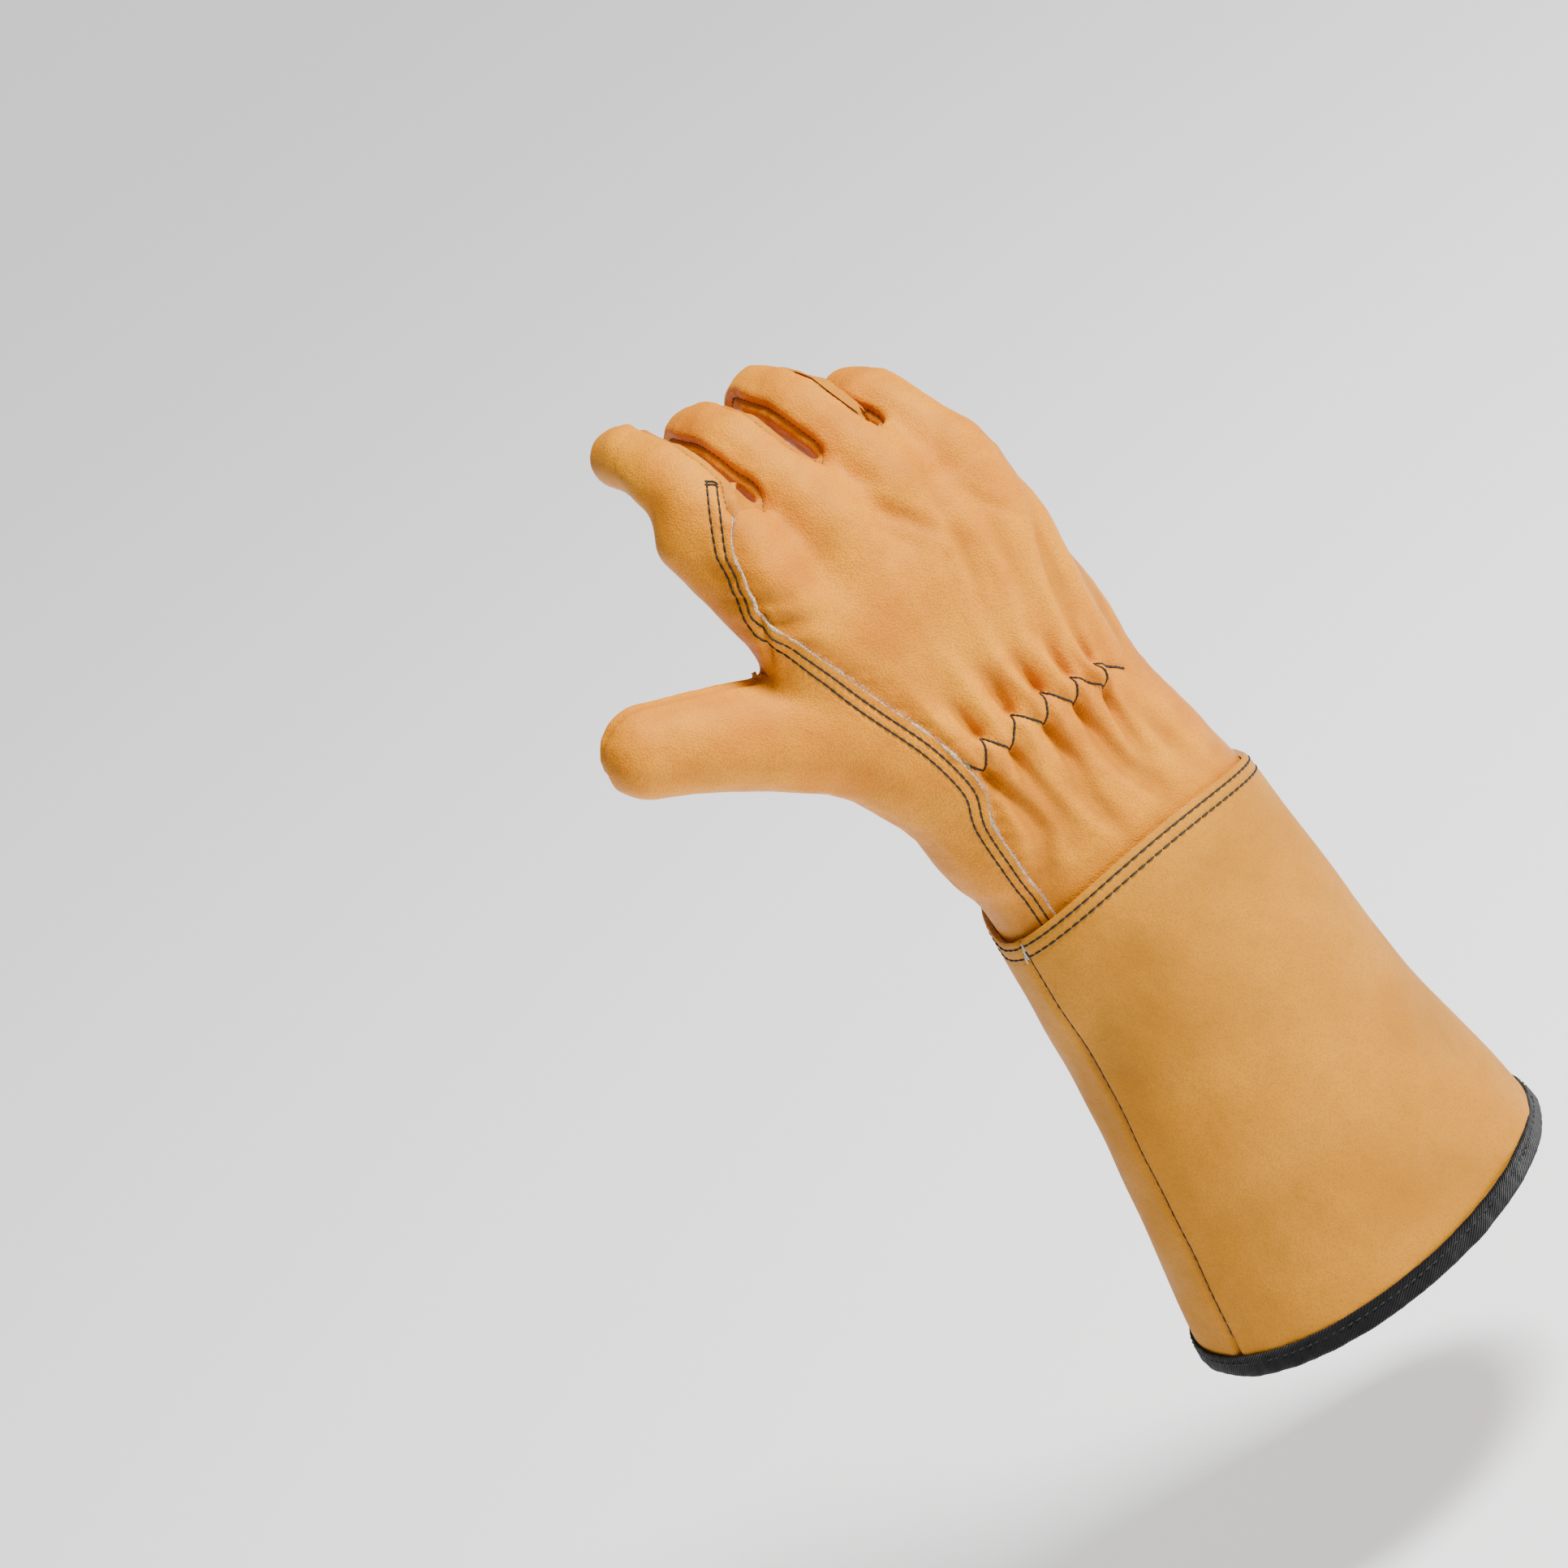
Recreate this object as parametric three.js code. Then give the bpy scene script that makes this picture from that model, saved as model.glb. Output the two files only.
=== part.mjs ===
// Rose pruning gauntlet, right hand: grain leather hand sewn from shaped panels, with a long
// flared cuff bound in tape. Millimetres, +Z up along the forearm, back of the hand facing -Y,
// thumb on -X. The origin is the middle of the wrist, where the hand holds the glove up.
import * as THREE from 'three';
import { mergeVertices } from 'three/addons/utils/BufferGeometryUtils.js';

// Driving sizes in millimetres
const HAND_LENGTH = 104;
const HAND_WIDTH = 106;
const HAND_DEPTH = 42;
const WRIST_WIDTH = 95;
const WRIST_DEPTH = 60;
const CUFF_TOP_WIDTH = 103;
const CUFF_TOP_DEPTH = 76;
const CUFF_TOP_DROP = 44;
const CUFF_LENGTH = 171;
const MOUTH_WIDTH = 143;
const MOUTH_DEPTH = 112;
const MOUTH_SLANT = 7;
const CUFF_ARCH_BACK = 12;
const CUFF_ARCH_PALM = 17;
const TUCK_IN = 9;
const TUCK_DROP = 0.7;
const FINGER_LENGTH = 97;
// What is left of a quarter of the hand's width beside a finger
const FINGER_SPACE = 2.5;
const FINGER_THICKNESS = 0.25 * HAND_WIDTH - FINGER_SPACE;
const CROTCH_RISE = 22;
const THUMB_LENGTH = 79;
const THUMB_BASE_LENGTH = 60;
const THUMB_THICKNESS = 36;
const HAND_LEATHER = 1.5;
const CUFF_LEATHER = 1.8;
const TAPE = 0.9;
const TAPE_WIDTH = 9;
const SEAM_GAP = 0.3;
const LAP_WIDTH = 5;
const GATHER_DEPTH = 3.2;

// How the glove is held: bends and leans in degrees, places as shares of the sizes above
const FINGERS = [
  { name: 'index', across: -0.4, up: 1, long: 0.94, thick: 1.03, lean: 5, bends: [30, 35, 25] },
  { name: 'middle', across: -0.15, up: 1, long: 1, thick: 1.02, lean: 8, bends: [40, 45, 30] },
  { name: 'ring', across: 0.095, up: 0.965, long: 0.97, thick: 0.98, lean: 9, bends: [37, 42, 30] },
  { name: 'little', across: 0.31, up: 0.92, long: 0.76, thick: 0.88, lean: 12, bends: [40, 42, 30] },
];
const BONES = { middleJoint: 0.47, endJoint: 0.75, tipTaper: 0.84, rootSwell: 1.3, rootDrop: 28 };
const THUMB = {
  across: -0.2, deep: 0.03, leans: [37, 21, 8], flex: 6, joint: 0.6,
  swells: [1.4, 1.1, 0.88], tipShare: 0.46, rayShare: 0.43, rootDrop: 6,
};
// Widths over which neighbouring forms run into each other
const JOINS = { knuckles: 22, thumb: 14, slack: 14, finger: 7 };
// How far round a finger's or the thumb's rounded end the leather closes, in degrees
const CLOSE_TURN = 84;

// The hand leather's lower edge, hidden in the cuff
const HEM = -CUFF_TOP_DROP - 0.5 * TUCK_IN;

// Cross-sections of the cuff, wrist and palm, square being the power of the rounded outline
const SECTIONS = [
  { at: -CUFF_TOP_DROP - CUFF_LENGTH, shift: 0.06 * MOUTH_WIDTH, width: MOUTH_WIDTH, depth: MOUTH_DEPTH, square: 2 },
  {
    at: -CUFF_TOP_DROP - 0.45 * CUFF_LENGTH, shift: 0.055 * MOUTH_WIDTH,
    width: 0.5 * (CUFF_TOP_WIDTH + MOUTH_WIDTH) - 0.06 * MOUTH_WIDTH,
    depth: 0.5 * (CUFF_TOP_DEPTH + MOUTH_DEPTH), square: 2,
  },
  { at: -CUFF_TOP_DROP, shift: 0.075 * CUFF_TOP_WIDTH, width: CUFF_TOP_WIDTH, depth: CUFF_TOP_DEPTH, square: 2.1 },
  { at: 0.06 * HAND_LENGTH, shift: 0.02 * WRIST_WIDTH, width: WRIST_WIDTH, depth: WRIST_DEPTH, square: 2.2 },
  { at: 0.45 * HAND_LENGTH, shift: -0.012 * HAND_WIDTH, width: 0.955 * HAND_WIDTH, depth: 1.12 * HAND_DEPTH, square: 2.5 },
  { at: 0.9 * HAND_LENGTH, shift: -0.058 * HAND_WIDTH, width: 0.94 * HAND_WIDTH, depth: 0.96 * HAND_DEPTH, square: 2.7 },
];

// The lap seam's path over the back: up is a share of HAND_LENGTH, place runs -1 at the thumb
// side's edge, 0 over the index bone, 1 over the middle bone
const LAP_PATH = [
  { up: -0.52, place: -0.02 },
  { up: -0.3, place: 0 },
  { up: 0, place: 0.05 },
  { up: 0.13, place: 0.26 },
  { up: 0.33, place: 0.27 },
  { up: 0.55, place: 0.05 },
  { up: 0.7, place: -0.13 },
  { up: 0.83, place: -0.36 },
  { up: 0.94, place: -0.58 },
  { up: 1.12, place: -0.35 },
  { up: 1.21, place: 0.08 },
];

const DEGREE = Math.PI / 180;
const clamp01 = (value) => Math.min(1, Math.max(0, value));
const smooth = (value) => {
  const x = clamp01(value);
  return x * x * (3 - 2 * x);
};
const mix = (a, b, share) => a + (b - a) * share;
const mixPoint = (a, b, share) => [mix(a[0], b[0], share), mix(a[1], b[1], share), mix(a[2], b[2], share)];
const scaled = (a, size) => [a[0] * size, a[1] * size, a[2] * size];
const along = (a, b, length) => [a[0] + b[0] * length, a[1] + b[1] * length, a[2] + b[2] * length];
const unit = (a) => {
  const length = Math.hypot(a[0], a[1], a[2]);
  return [a[0] / length, a[1] / length, a[2] / length];
};

// A value read from a table's named column, with smooth steps between its rows
function readRows(rows, key, column, place) {
  const first = rows[0];
  const last = rows[rows.length - 1];
  if (place <= first[key]) return first[column];
  if (place >= last[key]) return last[column];
  const index = rows.findIndex((row) => row[key] > place);
  const tangent = (i) => {
    const before = rows[Math.max(0, i - 1)];
    const after = rows[Math.min(rows.length - 1, i + 1)];
    return (after[column] - before[column]) / (after[key] - before[key]);
  };
  const low = rows[index - 1];
  const high = rows[index];
  const span = high[key] - low[key];
  const x = (place - low[key]) / span;
  const x2 = x * x;
  const x3 = x2 * x;
  return (2 * x3 - 3 * x2 + 1) * low[column] + (x3 - 2 * x2 + x) * span * tangent(index - 1)
    + (3 * x2 - 2 * x3) * high[column] + (x3 - x2) * span * tangent(index);
}

// A finger's bone line: it leans sideways and bends towards the palm. Points and frames are
// kept every millimetre of its length, past = towards the tip, back = back of the hand
function boneLine(start, length, leanAt, flexAt) {
  const rows = [];
  let point = start;
  for (let s = 0; s <= Math.ceil(length) + 1; s += 1) {
    const lean = leanAt(s) * DEGREE;
    const flex = flexAt(s) * DEGREE;
    const ahead = [-Math.sin(lean), 0, Math.cos(lean)];
    const past = [ahead[0] * Math.cos(flex), Math.sin(flex), ahead[2] * Math.cos(flex)];
    const back = [ahead[0] * Math.sin(flex), -Math.cos(flex), ahead[2] * Math.sin(flex)];
    const side = [Math.cos(lean), 0, Math.sin(lean)];
    rows.push({ point, past, back, side });
    point = along(point, past, 1);
  }
  return rows;
}

function readLine(rows, s) {
  const place = Math.min(Math.max(s, 0), rows.length - 1.001);
  const index = Math.floor(place);
  const share = place - index;
  const low = rows[index];
  const high = rows[index + 1];
  return {
    point: mixPoint(low.point, high.point, share),
    past: mixPoint(low.past, high.past, share),
    back: mixPoint(low.back, high.back, share),
    side: mixPoint(low.side, high.side, share),
  };
}

const step = (s, middle, spread) => smooth((s - middle) / (2 * spread) + 0.5);

const fingers = FINGERS.map((row) => {
  const radius = 0.5 * FINGER_THICKNESS * row.thick;
  const length = FINGER_LENGTH * row.long;
  const knuckle = HAND_LENGTH * row.up;
  const tip = length - BONES.tipTaper * radius;
  const middle = length * BONES.middleJoint;
  const end = length * BONES.endJoint;
  const flexAt = (s) => row.bends[0] * step(s, 0.06 * length, 0.14 * length)
    + row.bends[1] * step(s, middle, 0.1 * length) + row.bends[2] * step(s, end, 0.08 * length);
  const start = [HAND_WIDTH * row.across, 0, knuckle];
  return {
    ...row, radius, knuckle, tip,
    line: boneLine(start, tip, (s) => row.lean * smooth(s / (0.2 * length)), flexAt),
    radiusAt: (s) => radius * mix(BONES.rootSwell, 1, smooth((s + 4) / (0.3 * length)))
      * mix(1, BONES.tipTaper, smooth((s - middle) / (tip - middle))),
  };
});

const thumbTip = THUMB_BASE_LENGTH + THUMB_LENGTH - THUMB.tipShare * THUMB_THICKNESS;
const thumb = {
  start: [HAND_WIDTH * THUMB.across, HAND_DEPTH * THUMB.deep, 0],
  tip: thumbTip,
  radiusAt: (s) => 0.5 * THUMB_THICKNESS * mix(
    mix(THUMB.swells[0], THUMB.swells[1], smooth(s / THUMB_BASE_LENGTH)),
    THUMB.swells[2], smooth((s - THUMB_BASE_LENGTH) / (thumbTip - THUMB_BASE_LENGTH))),
};
thumb.line = boneLine(
  thumb.start, thumb.tip,
  (s) => THUMB.leans[0] * smooth(s / (0.3 * THUMB_BASE_LENGTH))
    + THUMB.leans[1] * step(s, THUMB_BASE_LENGTH, 0.25 * THUMB_BASE_LENGTH)
    + THUMB.leans[2] * step(s, THUMB_BASE_LENGTH + THUMB.joint * THUMB_LENGTH, 0.2 * THUMB_LENGTH),
  (s) => THUMB.flex * smooth(s / THUMB_BASE_LENGTH));

// The slack leather between the thumb's base and the index finger
const SLACK = {
  from: [-0.45 * HAND_WIDTH, 0.2 * HAND_DEPTH, 1 * HAND_LENGTH],
  to: [-0.48 * HAND_WIDTH, 0.4 * HAND_DEPTH, 1.22 * HAND_LENGTH],
  radius: 0.31 * HAND_DEPTH,
};

// Frame of the hand at a height s above the wrist, over bone number place (0 index, 3 little)
function fingerFrame(finger, s) {
  if (s >= finger.knuckle) return readLine(finger.line, s - finger.knuckle);
  const centre = readRows(SECTIONS, 'at', 'shift', s);
  const share = readRows(SECTIONS, 'at', 'width', s) / HAND_WIDTH;
  const bone = (finger.across + 0.03) * mix(share * 1.05, 1, smooth(s / finger.knuckle));
  const across = mix(bone * HAND_WIDTH + centre, finger.across * HAND_WIDTH, smooth(s / finger.knuckle));
  return { point: [across, 0, s], past: [0, 0, 1], back: [0, -1, 0], side: [1, 0, 0] };
}

function handFrame(place, s) {
  const inner = Math.min(2, Math.max(0, Math.floor(place)));
  const low = fingerFrame(fingers[inner], s);
  if (place === inner) return low;
  const high = fingerFrame(fingers[inner + 1], s);
  const share = place - inner;
  return {
    point: mixPoint(low.point, high.point, share),
    past: unit(mixPoint(low.past, high.past, share)),
    back: unit(mixPoint(low.back, high.back, share)),
    side: unit(mixPoint(low.side, high.side, share)),
  };
}

// Where neighbouring fingers part: the height of each crotch, and its frame
const crotchAt = (f) => 0.5 * (fingers[f].knuckle + fingers[f + 1].knuckle) + CROTCH_RISE;
const roots = [0, 1, 2].map((f) => handFrame(f + 0.5, crotchAt(f)));

// Rays start inside the hand and cross its surface. Round the hand they are counted as places:
// -1 thumb-side edge, 0 to 3 over the four bones on the back, 4 outer edge, 5 to 8 under the
// bones on the palm, 9 thumb-side edge again
const SET_BACK = 8;
const THUMB_CROTCH_UP = 0.78 * HAND_LENGTH;
function handSetBack(place, s) {
  const beside = Math.max(0, 1 - Math.abs(place > 4 ? place - 9 : place + 1));
  const atWeb = smooth((s - 0.35 * HAND_LENGTH) / (0.35 * HAND_LENGTH))
    * (1 - smooth((s - THUMB_CROTCH_UP) / (0.4 * HAND_LENGTH)));
  return { above: SET_BACK * smooth((s - 0.75 * HAND_LENGTH) / 20), web: smooth(beside) * atWeb };
}
function handRay(around, s) {
  const place = around > 9 ? around - 10 : around;
  let bone = place;
  let turn = 0;
  if (place < 0) {
    bone = 0;
    turn = place * 90;
  } else if (place > 3 && place < 5) {
    bone = 3;
    turn = (place - 3) * 90;
  } else if (place >= 5 && place <= 8) {
    bone = 8 - place;
    turn = 180;
  } else if (place > 8) {
    bone = 0;
    turn = 180 + (place - 8) * 90;
  }
  const frame = handFrame(bone, s);
  const setBack = handSetBack(place, s);
  const inner = handFrame(bone, s - setBack.above - 4 * SET_BACK * setBack.web);
  const radius = 0.5 * FINGER_THICKNESS * (1 + 0.5 * setBack.web);
  const out = along(
    scaled(frame.back, Math.cos(turn * DEGREE)),
    frame.side, Math.sin(turn * DEGREE));
  return { from: inner.point, aim: along(frame.point, out, radius) };
}

// A ray round one finger or the thumb; turn is 0 over its back and 90 on its little-finger side.
// Past the last joint the ray tilts over to close the tip
function tubeRay(frameAt, from, tip, radius, turn, s) {
  const over = Math.max(0, s - tip) / radius;
  const frame = frameAt(Math.min(s, tip));
  const inner = frameAt(Math.min(s - SET_BACK * smooth((s - from) / 20) * (1 - smooth(over)), tip));
  const out = unit(along(
    scaled(frame.back, Math.cos(turn * DEGREE)),
    frame.side, Math.sin(turn * DEGREE)));
  const tilted = along(
    scaled(out, Math.cos(over)),
    frame.past, Math.sin(over));
  return { from: inner.point, aim: along(frame.point, tilted, radius) };
}

const fingerRay = (f, turn, s) => tubeRay(
  (place) => fingerFrame(fingers[f], place), fingers[f].knuckle, fingers[f].knuckle + fingers[f].tip,
  BONES.tipTaper * fingers[f].radius, turn, s);

function thumbFrame(s) {
  if (s >= 0) return readLine(thumb.line, s);
  const centre = readRows(SECTIONS, 'at', 'shift', s) - readRows(SECTIONS, 'at', 'shift', 0);
  return {
    point: [thumb.start[0] + centre, thumb.start[1], s],
    past: [0, 0, 1], back: [0, -1, 0], side: [1, 0, 0],
  };
}
const thumbRay = (turn, s) => tubeRay(
  thumbFrame, 0.5 * THUMB_BASE_LENGTH, thumb.tip, THUMB.rayShare * THUMB_THICKNESS, turn, s);

const mixRay = (a, b, share) => ({ from: mixPoint(a.from, b.from, share), aim: mixPoint(a.aim, b.aim, share) });

// Smooth joins of two distances
const joinSoft = (a, b, width) => {
  const h = Math.max(width - Math.abs(a - b), 0) / width;
  return Math.min(a, b) - h * h * width * 0.25;
};

function chainOf(frameAt, radiusAt, from, to, count) {
  const rows = [];
  for (let i = 0; i <= count; i += 1) {
    const s = mix(from, to, i / count);
    rows.push({ point: frameAt(s).point, radius: radiusAt(s) });
  }
  return rows;
}

const fingerChains = fingers.map((finger) => chainOf(
  (s) => fingerFrame(finger, s + finger.knuckle), finger.radiusAt, -BONES.rootDrop, finger.tip, 11));
const thumbChain = chainOf(thumbFrame, thumb.radiusAt, -THUMB.rootDrop, thumb.tip, 10);
const slackChain = [{ point: SLACK.from, radius: SLACK.radius }, { point: SLACK.to, radius: SLACK.radius }];

function chainDistance(rows, p) {
  let best = Infinity;
  for (let i = 0; i + 1 < rows.length; i += 1) {
    const a = rows[i].point;
    const b = rows[i + 1].point;
    const edge = [b[0] - a[0], b[1] - a[1], b[2] - a[2]];
    const to = [p[0] - a[0], p[1] - a[1], p[2] - a[2]];
    const share = clamp01((to[0] * edge[0] + to[1] * edge[1] + to[2] * edge[2])
      / (edge[0] ** 2 + edge[1] ** 2 + edge[2] ** 2));
    const distance = Math.hypot(to[0] - edge[0] * share, to[1] - edge[1] * share, to[2] - edge[2] * share)
      - mix(rows[i].radius, rows[i + 1].radius, share);
    best = Math.min(best, distance);
  }
  return best;
}

function palmDistance(p) {
  const top = 0.93 * HAND_LENGTH;
  const place = Math.min(p[2], top);
  const halfWidth = 0.5 * readRows(SECTIONS, 'at', 'width', place);
  const halfDepth = 0.5 * readRows(SECTIONS, 'at', 'depth', place);
  const square = readRows(SECTIONS, 'at', 'square', place);
  const x = Math.abs(p[0] - readRows(SECTIONS, 'at', 'shift', place)) / halfWidth + 1e-9;
  const y = Math.abs(p[1]) / halfDepth + 1e-9;
  const ratio = (x ** square + y ** square) ** (1 / square);
  const slope = Math.hypot((x / ratio) ** (square - 1) / halfWidth, (y / ratio) ** (square - 1) / halfDepth);
  const round = (ratio - 1) / slope;
  return -joinSoft(-round, -(p[2] - top), JOINS.knuckles);
}

const FADE_AWAY = 20;
const FADE_RISE = 10;

// Distance from a point to the glove's outer face. Above its root, a finger's own leather
// ignores its neighbours, which fade away over a few millimetres
function gloveDistance(p, own) {
  let distance = joinSoft(palmDistance(p), chainDistance(thumbChain, p), JOINS.thumb);
  distance = joinSoft(distance, chainDistance(slackChain, p), JOINS.slack);
  for (let f = 0; f < 4; f += 1) {
    let away = 0;
    if (own >= 0 && f !== own) {
      const root = roots[f > own ? own : own - 1];
      const above = (p[0] - root.point[0]) * root.past[0] + (p[1] - root.point[1]) * root.past[1]
        + (p[2] - root.point[2]) * root.past[2];
      away = FADE_AWAY * smooth(above / FADE_RISE);
    }
    if (away < FADE_AWAY - 1) distance = joinSoft(distance, chainDistance(fingerChains[f], p) + away, JOINS.finger);
  }
  return distance;
}

// Folds: gathers over the wrist's back where the elastic draws it in, and the soft creases
const GATHERS = {
  up: 0.13 * HAND_LENGTH, reach: 11, pinchReach: 3.2, pitch: 0.135 * WRIST_WIDTH, wave: 0.45, pinch: 0.5,
};
const FOLDS = [
  { name: 'palm crease', at: [0.05, 0.5, 0.55], turn: 35, long: 0.35, wide: 0.05, deep: 1.6 },
  { name: 'heart crease', at: [0.2, 0.5, 0.86], turn: -75, long: 0.3, wide: 0.05, deep: 1.4 },
  { name: 'web fold', at: [-0.52, 0.05, 1.02], turn: -50, long: 0.12, wide: 0.035, deep: 1.3 },
  { name: 'web fold below', at: [-0.5, 0.05, 0.93], turn: -58, long: 0.12, wide: 0.03, deep: 1.2 },
  { name: 'outer fold', at: [0.33, -0.5, 0.5], turn: 12, long: 0.22, wide: 0.04, deep: 1.3 },
  { name: 'outer fold beside', at: [0.43, -0.45, 0.36], turn: 8, long: 0.2, wide: 0.04, deep: 1.5 },
];
function foldHeight(p) {
  let height = 0;
  for (const fold of FOLDS) {
    const dx = p[0] - fold.at[0] * HAND_WIDTH;
    const dz = p[2] - fold.at[2] * HAND_LENGTH;
    const palmSide = Math.sign(fold.at[1]) * p[1] > 0 ? 1 : Math.max(0, 1 - Math.abs(p[1]) / 8);
    const turn = fold.turn * DEGREE;
    const down = (dz * Math.cos(turn) + dx * Math.sin(turn)) / (fold.long * HAND_LENGTH);
    const over = (dx * Math.cos(turn) - dz * Math.sin(turn)) / (fold.wide * HAND_WIDTH);
    height -= palmSide * fold.deep * Math.exp(-down * down - over * over);
  }
  const near = Math.exp(-(((p[2] - GATHERS.up) / GATHERS.reach) ** 2));
  const pinch = Math.exp(-(((p[2] - GATHERS.up) / GATHERS.pinchReach) ** 2));
  const onBack = smooth((-p[1] - 4) / 8) * smooth((p[0] + 0.36 * WRIST_WIDTH) / 12);
  const wave = 0.5 + 0.5 * Math.cos((p[0] * 2 * Math.PI) / GATHERS.pitch);
  return height - onBack * GATHER_DEPTH * (GATHERS.wave * near * wave + GATHERS.pinch * pinch);
}

function surfacePoint(ray, level, own) {
  const direction = unit([ray.aim[0] - ray.from[0], ray.aim[1] - ray.from[1], ray.aim[2] - ray.from[2]]);
  let t = 0;
  for (let i = 0; i < 60; i += 1) {
    const gap = gloveDistance(along(ray.from, direction, t), own) - level;
    t -= 0.95 * gap;
    if (Math.abs(gap) < 0.0005) break;
  }
  return along(ray.from, direction, t);
}

// A leather sheet is a set of grid patches. Each grid point is a ray with the leather's outer
// and inner level; patches weld along shared rays, and the sheet's free edge gets a wall
function leatherSheet(name, color, roughness, wall, patches, inset = 0.5 * SEAM_GAP) {
  const outer = [];
  const inner = [];
  const keys = new Map();
  const faces = [];
  const indexOf = (item) => {
    const tuck = item.plain ? 0 : -TUCK_DROP * smooth((-0.5 * CUFF_TOP_DROP - item.ray.aim[2]) / TUCK_IN);
    const lift = (item.level || 0) + tuck;
    const fold = item.plain ? 0 : foldHeight(item.ray.aim);
    const top = surfacePoint(item.ray, lift + fold, item.own ?? -1);
    const key = top.map((value) => Math.round(value * 400)).join();
    if (!keys.has(key)) {
      keys.set(key, outer.length);
      outer.push(top);
      inner.push(surfacePoint(item.ray, lift + fold - wall, item.own ?? -1));
    }
    return keys.get(key);
  };
  for (const patch of patches) {
    const grid = patch.rows.map((row) => patch.columns.map((column) => indexOf(patch.item(row, column))));
    for (let r = 0; r + 1 < grid.length; r += 1) {
      for (let c = 0; c + 1 < grid[0].length; c += 1) {
        const corners = [grid[r][c], grid[r][c + 1], grid[r + 1][c + 1], grid[r + 1][c]];
        const around = corners.filter((value, i) => value !== corners[(i + 3) % 4]);
        if (around.length < 3) continue;
        for (let i = 1; i + 1 < around.length; i += 1) {
          const face = [around[0], around[i], around[i + 1]];
          faces.push(patch.flip ? [face[0], face[2], face[1]] : face);
        }
      }
    }
  }
  return closedSheet(name, color, roughness, outer, inner, faces, inset);
}

// Draws the free edge back from the seam line, then closes outer and inner faces with a wall
function closedSheet(name, color, roughness, outer, inner, faces, inset) {
  const used = new Map();
  for (const face of faces) {
    for (let i = 0; i < 3; i += 1) used.set(`${face[i]},${face[(i + 1) % 3]}`, face);
  }
  const free = [];
  for (const [edge] of used) {
    const [a, b] = edge.split(',').map(Number);
    if (!used.has(`${b},${a}`)) free.push([a, b]);
  }
  const onEdge = new Set(free.flat());
  const neighbours = new Map();
  for (const face of faces) {
    for (let i = 0; i < 3; i += 1) {
      const a = face[i];
      for (const b of [face[(i + 1) % 3], face[(i + 2) % 3]]) {
        if (onEdge.has(a) && !onEdge.has(b)) neighbours.set(a, [...(neighbours.get(a) || []), b]);
      }
    }
  }
  const tangents = new Map();
  for (const [a, b] of free) {
    const edge = unit([outer[b][0] - outer[a][0], outer[b][1] - outer[a][1], outer[b][2] - outer[a][2]]);
    for (const v of [a, b]) {
      const sum = tangents.get(v) || [0, 0, 0];
      tangents.set(v, along(sum, edge, 1));
    }
  }
  const moved = [outer, inner].map((points) => points.map((point, v) => {
    const near = neighbours.get(v);
    if (!near) return point;
    let away = [0, 0, 0];
    for (const n of near) {
      away = along(away, unit([points[n][0] - point[0], points[n][1] - point[1], points[n][2] - point[2]]), 1);
    }
    const tangent = unit(tangents.get(v));
    const share = away[0] * tangent[0] + away[1] * tangent[1] + away[2] * tangent[2];
    const inward = unit(along(away, tangent, -share));
    return along(point, inward, inset);
  }));
  const count = outer.length;
  const index = [];
  for (const [a, b, c] of faces) index.push(a, b, c, a + count, c + count, b + count);
  for (const [a, b] of free) index.push(b, a, a + count, b, a + count, b + count);
  return solidMesh(name, color, roughness, [...moved[0], ...moved[1]], index);
}

function solidMesh(name, color, roughness, points, index) {
  const geometry = new THREE.BufferGeometry();
  geometry.setAttribute('position', new THREE.Float32BufferAttribute(points.flat(), 3));
  geometry.setIndex(index);
  const material = new THREE.MeshStandardMaterial({ color, roughness, metalness: 0 });
  const mesh = new THREE.Mesh(mergeVertices(geometry, 1e-5), material);
  mesh.name = name;
  return mesh;
}

const steps = (from, to, count) => Array.from({ length: count + 1 }, (_, i) => mix(from, to, i / count));

// Seam lines. On a finger the strip between two fingers starts this far round from the back
const STRIP_TURN = 50;
const SEAM_CLOSE = 14;
const tipAt = (f) => fingers[f].knuckle + fingers[f].tip;
const tipEnd = (f) => tipAt(f) + BONES.tipTaper * fingers[f].radius * CLOSE_TURN * DEGREE;
const SEAM_OVER_TIP = 3;
const seamEnd = (f) => tipAt(f) + SEAM_OVER_TIP;
const seamTurn = (f, s) => mix(STRIP_TURN, 90, smooth((s - seamEnd(f) + SEAM_CLOSE) / SEAM_CLOSE));
const lapPlace = (s) => readRows(LAP_PATH, 'up', 'place', s / HAND_LENGTH);
// A finger's rays begin to leave the hand this far under its fork, and do so over this rise
const FORK_DROP = 14;
const OPENING_RISE = 12;

// Heights of the palm's rows: below the wrist, up to the thumb's crotch, and on to a crotch
function palmUp(v, crotch) {
  if (v < 0) return -v * HEM;
  return v <= 1 ? v * THUMB_CROTCH_UP : mix(THUMB_CROTCH_UP, crotch, v - 1);
}

// Heights of the back's rows: beside the lap seam they keep to the thumb panel's rows
function backUp(v, crotch, fromLap) {
  if (v < 0) return -v * HEM;
  const beside = v <= CORNER_ROW ? (v / CORNER_ROW) * LAP_CORNER_UP
    : mix(LAP_CORNER_UP, crotch, (v - CORNER_ROW) / (2 - CORNER_ROW));
  return mix(beside, palmUp(v, crotch), smooth(fromLap));
}

// Heights of a finger's rows: to the end of its side seams, then over the tip
const fingerUp = (f, v, crotch) => (v <= 1 ? mix(crotch, seamEnd(f), v) : mix(seamEnd(f), tipEnd(f), v - 1));

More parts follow.
